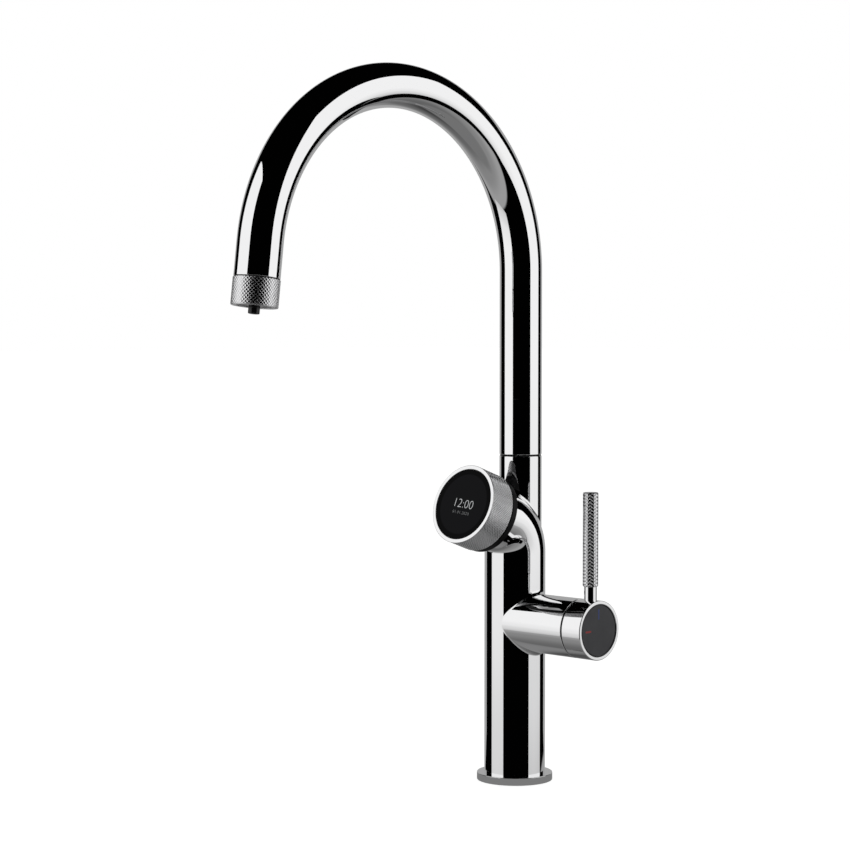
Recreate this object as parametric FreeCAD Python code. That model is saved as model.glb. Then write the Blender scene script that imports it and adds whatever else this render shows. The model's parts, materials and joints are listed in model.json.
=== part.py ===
"""Kitchen mixer tap: side lever, swivelling arch spout and a push-and-turn dial with a display.

Millimetres. The origin is the centre of the base on the worktop and +Z is up. The spout reaches
towards -Y and the lever stands on the +X side.
"""
import FreeCAD, Part
import math
import os

V = FreeCAD.Vector
UP = V(0, 0, 1)
RIGHT = V(1, 0, 0)
BACK = V(0, 1, 0)

# Fits
FIXED_FIT = 0.05        # radial play of a piece that is screwed, brazed or pressed in
RUNNING_FIT = 0.05      # radial play of a piece that turns or slides
FACE_GAP = 0.1          # axial play between faces that turn on each other

# Base and column
COLUMN_R = 20.2
COLUMN_WALL = 2.8
FLANGE_R = 25.1
FLANGE_T = 5.0
FLANGE_EDGE = 0.6
SEAL_W = 2.8
SEAL_T = 1.6

# Inlet block in the foot of the column
BLOCK_WALL = 2.0        # column wall left around the block
BLOCK_T = 28.0
INLET_R = 4.46          # tapping radius of M10 x 1
INLET_DEPTH = 12.0
FILTER_INLET_R = 3.45   # tapping radius of M8 x 1
FILTER_INLET_DEPTH = 10.0
STUD_R = 3.4            # tapping radius of M8
STUD_DEPTH = 18.0
STUD_WALL = 2.4         # block metal outside a stud hole
STUD_ANGLE = 50.0       # of each stud hole from -X
CABLE_R = 3.0
CABLE_X = -9.5
CABLE_Y = -2.0
GROMMET_T = 6.0
GROMMET_BORE = 1.8

# Water tubes inside the column
FEED_R = 4.0
FEED_X = 8.0
FEED_SOCKET = 8.0
MIXED_R = 8.0
MIXED_SOCKET = 6.0
TUBE_WALL = 1.0
LINE_R = 3.0            # filtered water line
LINE_WALL = 1.0
LINE_SOCKET = 10.0
UNION_WALL = 1.2
UNION_LEN = 14.0
UNION_RISE = 9.4        # union above the spigot's foot
UNION_STOP_T = 1.0

# Valve arm and cartridge
LEVER_Z = 106.0
ARM_R = 19.3
ARM_FILLET = 2.5
SEAT_X = 21.2
CART_R = 14.0
CART_LEN = 26.0
CART_WALL = 2.4
CART_BASE_T = 3.0
CART_FRONT_T = 3.0
PORT_CIRCLE_R = 8.5
PORT_R = 2.6
PORT_SEAL_W = 1.2
PORT_SEAL_T = 1.2
CERAMIC_T = 3.4
MIXING_POCKET_R = 6.0
MIXING_POCKET_DEPTH = 1.8
MIXING_POCKET_RIM = 1.5 # ceramic left outside the pocket
DRIVER_T = 4.0
LUG_W = 3.0
LUG_LEN = 4.0
LUG_DEPTH = 1.2
LUG_OFFSET = 7.5
SPINDLE_HUB_R = 8.0
SPINDLE_R = 5.0
SPINDLE_END_R = 4.0
SPINDLE_FLAT = 0.6
NUT_T = 8.0
NUT_STEP = 1.5          # nut thread radius over the cartridge radius
NUT_BORE_R = 9.0
WEB_COVER = 4.0         # casting metal below the cartridge chamber
CHAMBER_DROP = 4.5      # mixing chamber floor below the mixed-water port

# Lever handle
GLIDE_LIP_LEN = 2.4
GLIDE_LIP_W = 0.9
GLIDE_T = 0.8
GLIDE_SHY = 0.5         # seam rings stay this far inside the outline
HANDLE_LEN = 15.5
HANDLE_WALL = 2.8
HUB_R = 9.0
HUB_SHY = 0.3
SOCKET_LEN = 8.0
FACE_PLATE_T = 3.0
RIM_W = 2.3
DISC_T = 1.8
DISC_SHY = 0.5
GRUB_R = 2.5
GRUB_X = 4.0            # from the back of the handle
STEM_X = 7.8            # from the back of the handle
STEM_R = 4.1
STEM_SEAT = 1.7
STEM_STUD_R = 3.0
STEM_STUD_TIP = 6.0     # from the handle axis
GRIP_Z = 134.0
GRIP_R = 5.0
GRIP_LEN = 60.7
GRIP_SPIGOT = 20.0
GRIP_EDGE = 0.5

# Elbow and neck
BEND_Z = 151.8
ELBOW_BEND_R = 24.0
DIAL_TILT = 19.5        # dial axis above the horizontal
ELBOW_REACH = 10.7
NECK_Y = 5.3
NECK_R = 14.0
NECK_WALL = 2.5
NECK_TOP = 215.6

# Swivel joint
SEAT_FLANGE_T = 3.0
SEAT_FLANGE_W = 1.35
SEAT_FOOT = 49.6        # seat bush below the neck's top
SEAT_LIP_T = 1.0
SEAT_SOCKET = 9.0
SWIVEL_R = 9.45         # bore of the seat bush
SPIGOT_BORE_R = 6.4
SPIGOT_PLUG_LEN = 17.5
SPIGOT_FOOT_GAP = 1.0
SWIVEL_GLIDE_T = 0.8
O_RING_R = 0.8
O_RING_STEPS = (17.0, 27.0)   # below the neck's top
STOP_DROP = 9.4         # stop screw below the neck's top
STOP_TIP_R = 1.6
STOP_SCREW_R = 2.5
STOP_SHY = 1.0
STOP_GROOVE_DEPTH = 1.8
STOP_SWING = 75.0       # to each side

# Spout
SPOUT_WALL = 1.2
ARCH_R = 114.0
ARCH_Z = 337.6
ARCH_ANGLE = 173.0
OUTLET_RUN = 21.5
ADAPTER_LEN = 12.0
THREAD_LEN = 12.0
ADAPTER_STEP = 0.6      # thread radius inside the tube's bore
ADAPTER_WALL = 1.7
COLLAR_R = 14.3
COLLAR_LEN = 17.2
COLLAR_SEAM = 0.35
COLLAR_EDGE = 0.5
COLLAR_LIP_T = 1.4
COLLAR_LIP_W = 1.65
AERATOR_SEAL_T = 1.2
AERATOR_NOSE_SHY = 0.4
AERATOR_SLOTS = 12
AERATOR_SLOT_W = 1.4
AERATOR_SLOT_LEN = 4.0
AERATOR_SLOT_R = 7.6
NOZZLE_R = 3.5
NOZZLE_OUT = 4.4
NOZZLE_BORE_R = 1.6
NOZZLE_FLANGE_R = 5.0
NOZZLE_FLANGE_T = 1.5
NOZZLE_SOCKET = 5.0
NOZZLE_EDGE = 0.5

# Dial
DIAL_R = 26.2
BEZEL_W = 2.6
BEZEL_T = 0.8
BEZEL_EDGE = 0.4
BEZEL_LIP_T = 0.5
SLEEVE_LEN = 18.6
SLEEVE_WALL = 2.0
SLEEVE_EDGE = 0.4
DIAL_BASE_SHY = 0.7
DIAL_BASE_T = 4.4
DIAL_GAP = 1.2          # between the base ring and the sleeve
PUSH_TRAVEL = 0.8
PUSH_ROOM = 0.7         # left behind the carrier when it is pushed right in
BASE_SPIGOT_LEN = 7.0
BASE_SPIGOT_WALL = 2.0
GUIDE_R = 7.05
GUIDE_WALL = 2.45
GUIDE_FRONT = 6.0       # guide tube in front of the base ring
ENCODER_BOARD_T = 1.4
ENCODER_BOARD_W = 10.9
SWITCH_SIZE = 6.0
SWITCH_T = 4.2
SWITCH_CIRCLE_R = 14.5
PLUNGER_R = 1.2
PLUNGER_IN = 1.9        # plunger inside its switch at rest
PLUNGER_ROOM = 0.3      # left under a plunger that is pushed right in
CARRIER_PLATE_T = 2.5
CARRIER_WALL = 1.5
CARRIER_STEM_WALL = 2.5
CARRIER_POST_R = 1.5
CARRIER_POST_H = 1.2
CARRIER_POST_INSET = 3.5
BUSH_WALL = 2.1
BUSH_FRONT_GAP = 0.2
GLASS_T = 1.6
GLASS_SHY = 0.4         # glass behind the bezel's face
GLASS_GAP = 0.3         # round the glass
PANEL_R = 18.0
PANEL_T = 1.6
BOARD_GAP = 0.7
BOARD_T = 1.6
MAGNET_W = 2.1
MAGNET_LEN = 4.0
MAGNET_STEP = 2.1       # magnet ring from the sleeve's back edge
CLIP_T = 0.9
CLIP_W = 2.6
CLIP_MOUTH = 2.6
CLIP_GAP = 0.25
CLIP_GROOVE_DEPTH = 1.1
CLIP_TAIL = 0.45

# Radii that follow from the sizes above
COLUMN_BORE_R = COLUMN_R - COLUMN_WALL
BLOCK_BORE_R = COLUMN_R - BLOCK_WALL
BLOCK_R = BLOCK_BORE_R - FIXED_FIT
NECK_BORE_R = NECK_R - NECK_WALL
SPOUT_BORE_R = NECK_R - SPOUT_WALL
SPIGOT_R = SWIVEL_R - RUNNING_FIT
CERAMIC_R = CART_R - CART_WALL - FIXED_FIT
NUT_R = CART_R + NUT_STEP
LIP_BORE_R = NUT_R + GLIDE_LIP_W
CARRIER_R = DIAL_R - SLEEVE_WALL - BUSH_WALL - FIXED_FIT - RUNNING_FIT
SLEEVE_BORE_R = DIAL_R - SLEEVE_WALL

# Places along the valve arm, from the column's axis
CART_FRONT_X = SEAT_X + CART_LEN
LIP_X = CART_FRONT_X + NUT_T
ARM_END_X = LIP_X + GLIDE_LIP_LEN
HANDLE_X = ARM_END_X + GLIDE_T + FACE_GAP
HANDLE_FRONT_X = HANDLE_X + HANDLE_LEN
PLATE_FRONT_X = HANDLE_FRONT_X - DISC_SHY - DISC_T
PLATE_BACK_X = PLATE_FRONT_X - FACE_PLATE_T
LEVER_X = HANDLE_X + STEM_X

# Heights inside the column
PORT_RISE = PORT_CIRCLE_R * math.sin(math.radians(30))
PORT_SIDE = PORT_CIRCLE_R * math.cos(math.radians(30))
WEB_BOTTOM = LEVER_Z - CART_R - WEB_COVER
MIXED_PORT_Z = LEVER_Z + PORT_CIRCLE_R
CHAMBER_FLOOR = MIXED_PORT_Z - CHAMBER_DROP
MIXED_FOOT = MIXED_PORT_Z + PORT_R + TUBE_WALL
WEB_TOP = MIXED_FOOT + MIXED_SOCKET
SEAT_BOTTOM = NECK_TOP - SEAT_FOOT
MIXED_TOP = SEAT_BOTTOM + SEAT_SOCKET
SPIGOT_FOOT = MIXED_TOP + SEAT_LIP_T + SPIGOT_FOOT_GAP
SPOUT_FOOT = NECK_TOP + SWIVEL_GLIDE_T + FACE_GAP
UNION_FOOT = SPIGOT_FOOT + UNION_RISE
UNION_STOP = UNION_FOOT + (UNION_LEN - UNION_STOP_T) / 2

# Places along the dial's axis, from the elbow's end
SLEEVE_BACK = DIAL_BASE_T + DIAL_GAP
SLEEVE_FRONT = SLEEVE_BACK + SLEEVE_LEN
DIAL_FRONT = SLEEVE_FRONT + BEZEL_T
GLASS_FRONT = DIAL_FRONT - GLASS_SHY
GLASS_BACK = GLASS_FRONT - GLASS_T
GUIDE_END = DIAL_BASE_T + GUIDE_FRONT
PLATE_BACK = GUIDE_END + PUSH_TRAVEL + PUSH_ROOM
PLATE_FRONT = PLATE_BACK + CARRIER_PLATE_T
SWITCH_BACK = DIAL_BASE_T + ENCODER_BOARD_T
SWITCH_FRONT = SWITCH_BACK + SWITCH_T
CLIP_FRONT = -BASE_SPIGOT_LEN - CLIP_GAP

# Places along the outlet's axis, from the spout tube's end
COLLAR_LIP = COLLAR_LEN - COLLAR_LIP_T
AERATOR_BACK = THREAD_LEN + AERATOR_SEAL_T


def rod(radius, start, direction, length):
    """Solid cylinder that starts at a point and runs along a direction."""
    return Part.makeCylinder(radius, length, start, direction)


def pipe(outer, inner, start, direction, length):
    """Cylinder with a bore right through it."""
    return rod(outer, start, direction, length).cut(rod(inner, start, direction, length))


def ring(outer, inner, back, front):
    """Closed outline of a plain ring, as (radius, along) corners."""
    return [(inner, back), (outer, back), (outer, front), (inner, front)]


def turned(outline, place):
    """Piece turned on a lathe from (radius, along) corners, set in its place."""
    corners = [V(radius, 0, along) for radius, along in outline]
    wire = Part.makePolygon(corners + corners[:1])
    piece = Part.Face(wire).revolve(V(0, 0, 0), UP, 360)
    piece.Placement = place
    return piece


def block(size, centre, place):
    """Box with its centre at a point of a placed frame."""
    corner = V(*centre) - V(*size) * 0.5
    piece = Part.makeBox(size[0], size[1], size[2], corner)
    piece.Placement = place
    return piece


def frame_on(point, direction):
    """Frame at a point with its Z axis along a direction."""
    return FreeCAD.Placement(point, FreeCAD.Rotation(UP, direction))


def bend_end(start_y, start_z, bend_r, angle):
    """Point and direction at the end of a bend that starts upwards and leans towards -Y."""
    turn = math.radians(angle)
    point = V(0, start_y - bend_r * (1 - math.cos(turn)), start_z + bend_r * math.sin(turn))
    return point, V(0, -math.sin(turn), math.cos(turn))


def bent_bar(radius, foot, start_y, start_z, bend_r, angle, run):
    """Round bar: straight up, round a bend towards -Y, then straight on."""
    section = Part.Face(Part.Wire(Part.makeCircle(radius, V(0, start_y, start_z), UP)))
    bend = section.revolve(V(0, start_y - bend_r, start_z), RIGHT, angle)
    point, direction = bend_end(start_y, start_z, bend_r, angle)
    riser = rod(radius, V(0, start_y, foot), UP, start_z - foot)
    return riser.fuse([bend, rod(radius, point, direction, run)])


def arch_bar(radius, foot, run):
    """Round bar that follows the spout's arch from a height in the neck to past the outlet."""
    return bent_bar(radius, foot, NECK_Y, ARCH_Z, ARCH_R, ARCH_ANGLE, run)


def shifted(point, direction, distance):
    """Point a distance further along a direction."""
    return point + direction * distance


COLUMN = FreeCAD.Placement()
NECK = frame_on(V(0, NECK_Y, 0), UP)
ARM = frame_on(V(0, 0, LEVER_Z), RIGHT)
BEND_POINT, DIAL_AXIS = bend_end(0, BEND_Z, ELBOW_BEND_R, 90 - DIAL_TILT)
DIAL = frame_on(shifted(BEND_POINT, DIAL_AXIS, ELBOW_REACH), DIAL_AXIS)
ARCH_POINT, OUTLET_AXIS = bend_end(NECK_Y, ARCH_Z, ARCH_R, ARCH_ANGLE)
OUTLET = frame_on(shifted(ARCH_POINT, OUTLET_AXIS, OUTLET_RUN), OUTLET_AXIS)
PORTS = [(0, PORT_CIRCLE_R), (PORT_SIDE, -PORT_RISE), (-PORT_SIDE, -PORT_RISE)]
THIRDS = [90, 210, 330]


def at_ports(radius, x, length):
    """One rod along the arm at each of the three water ports."""
    return [rod(radius, V(x, y, LEVER_Z + rise), RIGHT, length) for y, rise in PORTS]


def on_dial_circle(radius, along, angle):
    """Point on a circle round the dial's axis, in the dial's frame."""
    turn = math.radians(angle)
    return (radius * math.cos(turn), radius * math.sin(turn), along)


def dial_rods(radius, circle_r, back, front):
    """Three rods round the dial's axis, as separate solids."""
    rods = []
    for angle in THIRDS:
        bar = rod(radius, V(*on_dial_circle(circle_r, back, angle)), UP, front - back)
        bar.Placement = DIAL
        rods.append(bar)
    return rods


# Base and column
def base_flange():
    outline = [(BLOCK_BORE_R, 0), (FLANGE_R, 0), (FLANGE_R, FLANGE_T - FLANGE_EDGE),
               (FLANGE_R - FLANGE_EDGE, FLANGE_T), (BLOCK_BORE_R, FLANGE_T)]
    return turned(outline, COLUMN).cut(base_seal())


def base_seal():
    middle = (BLOCK_BORE_R + FLANGE_R) / 2
    return turned(ring(middle + SEAL_W / 2, middle - SEAL_W / 2, 0, SEAL_T), COLUMN)


def stud_points():
    """Plan places of the two fixing stud holes."""
    circle_r = BLOCK_R - STUD_WALL - STUD_R
    turn = math.radians(180 - STUD_ANGLE)
    return [V(circle_r * math.cos(turn), side * circle_r * math.sin(turn), 0) for side in (1, -1)]


def inlet_block():
    body = rod(BLOCK_R, V(0, 0, 0), UP, BLOCK_T)
    holes = [rod(STUD_R, point, UP, STUD_DEPTH) for point in stud_points()]
    for side in (1, -1):
        point = V(FEED_X, side * PORT_SIDE, 0)
        holes.append(rod(INLET_R, point, UP, INLET_DEPTH))
        holes.append(rod(FEED_R - TUBE_WALL, point, UP, BLOCK_T))
        holes.append(rod(FEED_R + FIXED_FIT, point + UP * (BLOCK_T - FEED_SOCKET), UP, FEED_SOCKET))
    filter_point = V(0, NECK_Y, 0)
    holes.append(rod(FILTER_INLET_R, filter_point, UP, FILTER_INLET_DEPTH))
    holes.append(rod(LINE_R - LINE_WALL, filter_point, UP, BLOCK_T))
    holes.append(rod(LINE_R + FIXED_FIT, filter_point + UP * (BLOCK_T - LINE_SOCKET), UP, LINE_SOCKET))
    holes.append(rod(CABLE_R, V(CABLE_X, CABLE_Y, 0), UP, BLOCK_T))
    return body.cut(holes)


def cable_grommet():
    foot = V(CABLE_X, CABLE_Y, 0)
    return pipe(CABLE_R - FIXED_FIT, GROMMET_BORE, foot, UP, GROMMET_T)


def feed_tube(side):
    foot = BLOCK_T - FEED_SOCKET
    top = WEB_BOTTOM + FEED_SOCKET
    return pipe(FEED_R, FEED_R - TUBE_WALL, V(FEED_X, side * PORT_SIDE, foot), UP, top - foot)


def mixed_water_tube():
    foot = V(0, NECK_Y, MIXED_FOOT)
    return pipe(MIXED_R, MIXED_R - TUBE_WALL, foot, UP, MIXED_TOP - MIXED_FOOT)


def casting_outside():
    """Column, round-ended valve arm, elbow and neck grown together, with a soft root to the arm."""
    column = bent_bar(COLUMN_R, FLANGE_T, 0, BEND_Z, ELBOW_BEND_R, 90 - DIAL_TILT, ELBOW_REACH)
    arm = rod(ARM_R, V(0, 0, LEVER_Z), RIGHT, ARM_END_X)
    arm_end = Part.makeSphere(ARM_R, V(0, 0, LEVER_Z))
    trunk = column.fuse([arm, arm_end])
    root = [edge for edge in trunk.Edges if lies_on_arm_root(edge)]
    neck = rod(NECK_R, V(0, NECK_Y, BEND_Z), UP, NECK_TOP - BEND_Z)
    return trunk.makeFillet(ARM_FILLET, root).fuse(neck)


def lies_on_arm_root(edge):
    """True for a curve where the arm's wall or its round end meets the column's wall."""
    point = edge.valueAt((edge.FirstParameter + edge.LastParameter) / 2)
    from_column = math.hypot(point.x, point.y)
    from_arm = point.distanceToPoint(V(max(point.x, 0), 0, LEVER_Z))
    return abs(from_column - COLUMN_R) < FIXED_FIT and abs(from_arm - ARM_R) < FIXED_FIT


def casting_waterways():
    """Sockets and drillings in the solid web behind the cartridge."""
    ways = []
    port_z = LEVER_Z - PORT_RISE
    for side in (1, -1):
        foot = V(FEED_X, side * PORT_SIDE, WEB_BOTTOM)
        ways.append(rod(FEED_R + FIXED_FIT, foot, UP, FEED_SOCKET))
        ways.append(rod(PORT_R, foot, UP, port_z + PORT_R - WEB_BOTTOM))
        port_x = FEED_X - PORT_R
        ways.append(rod(PORT_R, V(port_x, side * PORT_SIDE, port_z), RIGHT, SEAT_X - port_x))
    ways.append(rod(PORT_R, V(0, 0, MIXED_PORT_Z), RIGHT, SEAT_X))
    ways.append(rod(MIXED_R - TUBE_WALL, V(0, NECK_Y, CHAMBER_FLOOR), UP, WEB_TOP - CHAMBER_FLOOR))
    ways.append(rod(MIXED_R + FIXED_FIT, V(0, NECK_Y, MIXED_FOOT), UP, MIXED_SOCKET))
    ways.append(rod(LINE_R + FIXED_FIT, V(0, NECK_Y, WEB_BOTTOM), UP, CHAMBER_FLOOR - WEB_BOTTOM))
    ways.append(rod(CABLE_R, V(CABLE_X, CABLE_Y, WEB_BOTTOM), UP, WEB_TOP - WEB_BOTTOM))
    return ways


def body_casting():
    hollows = [
        rod(COLUMN_BORE_R, V(0, 0, FLANGE_T), UP, WEB_BOTTOM - FLANGE_T),
        rod(BLOCK_BORE_R, V(0, 0, FLANGE_T), UP, BLOCK_T - FLANGE_T),
        bent_bar(COLUMN_BORE_R, WEB_TOP, 0, BEND_Z, ELBOW_BEND_R, 90 - DIAL_TILT, ELBOW_REACH),
        rod(NECK_BORE_R, V(0, NECK_Y, BEND_Z), UP, NECK_TOP - BEND_Z),
        rod(NECK_BORE_R + SEAT_FLANGE_W, V(0, NECK_Y, NECK_TOP - SEAT_FLANGE_T), UP, SEAT_FLANGE_T),
        rod(STOP_SCREW_R + FIXED_FIT, V(0, NECK_Y, NECK_TOP - STOP_DROP), BACK, NECK_R),
        rod(CART_R + FIXED_FIT, V(SEAT_X, 0, LEVER_Z), RIGHT, CART_LEN),
        rod(NUT_R + FIXED_FIT, V(CART_FRONT_X, 0, LEVER_Z), RIGHT, NUT_T),
        rod(LIP_BORE_R, V(LIP_X, 0, LEVER_Z), RIGHT, GLIDE_LIP_LEN),
    ]
    return casting_outside().cut(hollows + casting_waterways())


# Filtered water line
def filtered_line_lower():
    foot = BLOCK_T - LINE_SOCKET
    return pipe(LINE_R, LINE_R - LINE_WALL, V(0, NECK_Y, foot), UP, UNION_STOP - foot)


def filtered_line_union():
    bore = LINE_R + RUNNING_FIT
    sleeve = pipe(bore + UNION_WALL, bore, V(0, NECK_Y, UNION_FOOT), UP, UNION_LEN)
    stop = pipe(bore, LINE_R - LINE_WALL, V(0, NECK_Y, UNION_STOP), UP, UNION_STOP_T)
    return sleeve.fuse(stop)


def filtered_line_upper():
    foot = UNION_STOP + UNION_STOP_T + FACE_GAP
    run = OUTLET_RUN + AERATOR_BACK - NOZZLE_FLANGE_T
    return arch_bar(LINE_R, foot, run).cut(arch_bar(LINE_R - LINE_WALL, foot, run))


# Swivel joint
def swivel_seat():
    body_r = NECK_BORE_R - FIXED_FIT
    flange_r = body_r + SEAT_FLANGE_W
    lip_r = MIXED_R - TUBE_WALL
    socket_r = MIXED_R + FIXED_FIT
    outline = [(socket_r, SEAT_BOTTOM), (body_r, SEAT_BOTTOM), (body_r, NECK_TOP - SEAT_FLANGE_T),
               (flange_r, NECK_TOP - SEAT_FLANGE_T), (flange_r, NECK_TOP), (SWIVEL_R, NECK_TOP),
               (SWIVEL_R, MIXED_TOP + SEAT_LIP_T), (lip_r, MIXED_TOP + SEAT_LIP_T),
               (lip_r, MIXED_TOP), (socket_r, MIXED_TOP)]
    screw_hole = rod(STOP_SCREW_R + FIXED_FIT, V(0, NECK_Y, NECK_TOP - STOP_DROP), BACK, NECK_R)
    return turned(outline, NECK).cut(screw_hole)


def swivel_glide_ring():
    outer = NECK_R - GLIDE_SHY
    return turned(ring(outer, SWIVEL_R + FACE_GAP, NECK_TOP, NECK_TOP + SWIVEL_GLIDE_T), NECK)


def swivel_stop_screw():
    """Grub screw through the back of the neck, with a dog point in the spigot's groove."""
    height = NECK_TOP - STOP_DROP
    shank_in = SWIVEL_R + FACE_GAP
    shank_out = NECK_R - STOP_SHY
    tip_in = SPIGOT_R - STOP_GROOVE_DEPTH + FACE_GAP
    shank = rod(STOP_SCREW_R, V(0, NECK_Y + shank_in, height), BACK, shank_out - shank_in)
    tip = rod(STOP_TIP_R, V(0, NECK_Y + tip_in, height), BACK, shank_in - tip_in)
    key = hexagon(STOP_TIP_R, shank_out - STOP_TIP_R, shank_out)
    key.Placement = frame_on(V(0, NECK_Y, height), BACK)
    return shank.fuse(tip).cut(key)


def hexagon(radius, back, front):
    """Hexagonal bar along Z, such as the cutter for a key socket."""
    corners = []
    for side in range(7):
        turn = math.radians(60 * side)
        corners.append(V(radius * math.cos(turn), radius * math.sin(turn), back))
    return Part.Face(Part.makePolygon(corners)).extrude(UP * (front - back))


def spout_spigot():
    plug_r = SPOUT_BORE_R - FIXED_FIT
    top = SPOUT_FOOT + SPIGOT_PLUG_LEN
    outline = [(SPIGOT_BORE_R, SPIGOT_FOOT), (SPIGOT_R, SPIGOT_FOOT), (SPIGOT_R, SPOUT_FOOT),
               (plug_r, SPOUT_FOOT), (plug_r, top), (SPIGOT_BORE_R, top)]
    spigot = turned(outline, NECK)
    cuts = [stop_groove()]
    for drop in O_RING_STEPS:
        middle = NECK_TOP - drop
        groove = ring(SPIGOT_R + FACE_GAP, SPIGOT_R - 2 * O_RING_R, middle - O_RING_R - FACE_GAP,
                      middle + O_RING_R + FACE_GAP)
        cuts.append(turned(groove, NECK))
    return spigot.cut(cuts)


def stop_groove():
    """Part-turn groove for the stop screw's point, open over the spout's swing."""
    height = NECK_TOP - STOP_DROP
    floor_r = SPIGOT_R - STOP_GROOVE_DEPTH
    half_height = STOP_TIP_R + FACE_GAP
    half_swing = STOP_SWING + math.degrees(math.asin(half_height / floor_r))
    corners = [V(floor_r, 0, height - half_height), V(SPIGOT_R + FACE_GAP, 0, height - half_height),
               V(SPIGOT_R + FACE_GAP, 0, height + half_height), V(floor_r, 0, height + half_height)]
    section = Part.Face(Part.makePolygon(corners + corners[:1]))
    section.rotate(V(0, 0, 0), UP, 90 - half_swing)
    groove = section.revolve(V(0, 0, 0), UP, 2 * half_swing)
    groove.Placement = NECK.multiply(groove.Placement)
    return groove


def spout_o_rings():
    seat_r = SPIGOT_R - O_RING_R
    rings = [Part.makeTorus(seat_r, O_RING_R, V(0, NECK_Y, NECK_TOP - drop), UP) for drop in O_RING_STEPS]
    return Part.makeCompound(rings)


# Spout and outlet
def spout_tube():
    outside = arch_bar(NECK_R, SPOUT_FOOT, OUTLET_RUN)
    return outside.cut(arch_bar(SPOUT_BORE_R, SPOUT_FOOT, OUTLET_RUN))


def outlet_adapter():
    plug_r = SPOUT_BORE_R - FIXED_FIT
    thread_r = SPOUT_BORE_R - ADAPTER_STEP
    bore_r = thread_r - ADAPTER_WALL
    outline = [(bore_r, -ADAPTER_LEN), (plug_r, -ADAPTER_LEN), (plug_r, 0), (thread_r, 0),
               (thread_r, THREAD_LEN), (bore_r, THREAD_LEN)]
    return turned(outline, OUTLET)


def aerator_collar():
    bore_r = SPOUT_BORE_R - ADAPTER_STEP + FIXED_FIT
    mouth_r = bore_r - COLLAR_LIP_W
    outline = [(bore_r, COLLAR_SEAM), (COLLAR_R - COLLAR_EDGE, COLLAR_SEAM),
               (COLLAR_R, COLLAR_SEAM + COLLAR_EDGE), (COLLAR_R, COLLAR_LEN - COLLAR_EDGE),
               (COLLAR_R - COLLAR_EDGE, COLLAR_LEN), (mouth_r, COLLAR_LEN), (mouth_r, COLLAR_LIP),
               (bore_r, COLLAR_LIP)]
    return turned(outline, OUTLET)


def aerator_seal():
    thread_r = SPOUT_BORE_R - ADAPTER_STEP
    return turned(ring(thread_r, thread_r - ADAPTER_WALL, THREAD_LEN, AERATOR_BACK), OUTLET)


def aerator_insert():
    flange_r = SPOUT_BORE_R - ADAPTER_STEP
    nose_r = flange_r - COLLAR_LIP_W
    bore_r = NOZZLE_R + FIXED_FIT
    nose = COLLAR_LEN - AERATOR_NOSE_SHY
    outline = [(bore_r, AERATOR_BACK), (flange_r, AERATOR_BACK), (flange_r, COLLAR_LIP),
               (nose_r, COLLAR_LIP), (nose_r, nose), (bore_r, nose)]
    slots = []
    for step in range(AERATOR_SLOTS):
        slot = Part.makeBox(AERATOR_SLOT_LEN, AERATOR_SLOT_W, nose - AERATOR_BACK,
                            V(AERATOR_SLOT_R - AERATOR_SLOT_LEN / 2, -AERATOR_SLOT_W / 2, AERATOR_BACK))
        slot.rotate(V(0, 0, 0), UP, 360 / AERATOR_SLOTS * step)
        slot.Placement = OUTLET.multiply(slot.Placement)
        slots.append(slot)
    return turned(outline, OUTLET).cut(slots)


def filter_nozzle():
    """Small outlet for filtered water, seated on the aerator insert and fed by the inner line."""
    flange_back = AERATOR_BACK - NOZZLE_FLANGE_T
    socket_back = flange_back - NOZZLE_SOCKET
    socket_r = LINE_R + FIXED_FIT
    tip = COLLAR_LEN + NOZZLE_OUT
    outline = [(socket_r, socket_back), (socket_r + LINE_WALL, socket_back),
               (socket_r + LINE_WALL, flange_back), (NOZZLE_FLANGE_R, flange_back),
               (NOZZLE_FLANGE_R, AERATOR_BACK), (NOZZLE_R, AERATOR_BACK), (NOZZLE_R, tip - NOZZLE_EDGE),
               (NOZZLE_R - NOZZLE_EDGE, tip), (NOZZLE_BORE_R, tip), (NOZZLE_BORE_R, flange_back),
               (socket_r, flange_back)]
    return turned(outline, OUTLET)


# Valve cartridge
def cartridge_base():
    body = rod(CART_R, V(SEAT_X, 0, LEVER_Z), RIGHT, CART_BASE_T)
    grooves = at_ports(PORT_R + PORT_SEAL_W + FIXED_FIT, SEAT_X, PORT_SEAL_T)
    return body.cut(grooves + at_ports(PORT_R, SEAT_X, CART_BASE_T))


def cartridge_seals():
    outers = at_ports(PORT_R + PORT_SEAL_W, SEAT_X, PORT_SEAL_T)
    bores = at_ports(PORT_R, SEAT_X, PORT_SEAL_T)
    return Part.makeCompound([outer.cut(bore) for outer, bore in zip(outers, bores)])


def cartridge_housing():
    bore_r = CART_R - CART_WALL
    back = SEAT_X + CART_BASE_T
    wall = CART_FRONT_X - CART_FRONT_T
    neck_r = SPINDLE_R + RUNNING_FIT
    outline = [(bore_r, back), (CART_R, back), (CART_R, CART_FRONT_X), (neck_r, CART_FRONT_X),
               (neck_r, wall), (bore_r, wall)]
    return turned(outline, ARM)


def fixed_ceramic_disc():
    back = SEAT_X + CART_BASE_T
    body = rod(CERAMIC_R, V(back, 0, LEVER_Z), RIGHT, CERAMIC_T)
    return body.cut(at_ports(PORT_R, back, CERAMIC_T))


def drive_lugs(margin):
    """Two lugs of the spindle that turn the moving disc, or their pockets with a margin."""
    front = SEAT_X + CART_BASE_T + 2 * CERAMIC_T + RUNNING_FIT
    size = (LUG_DEPTH, LUG_W + 2 * margin, LUG_LEN + 2 * margin)
    middle = V(front - LUG_DEPTH / 2, 0, LEVER_Z)
    return [block(size, middle + BACK * side * LUG_OFFSET, COLUMN) for side in (1, -1)]


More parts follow.
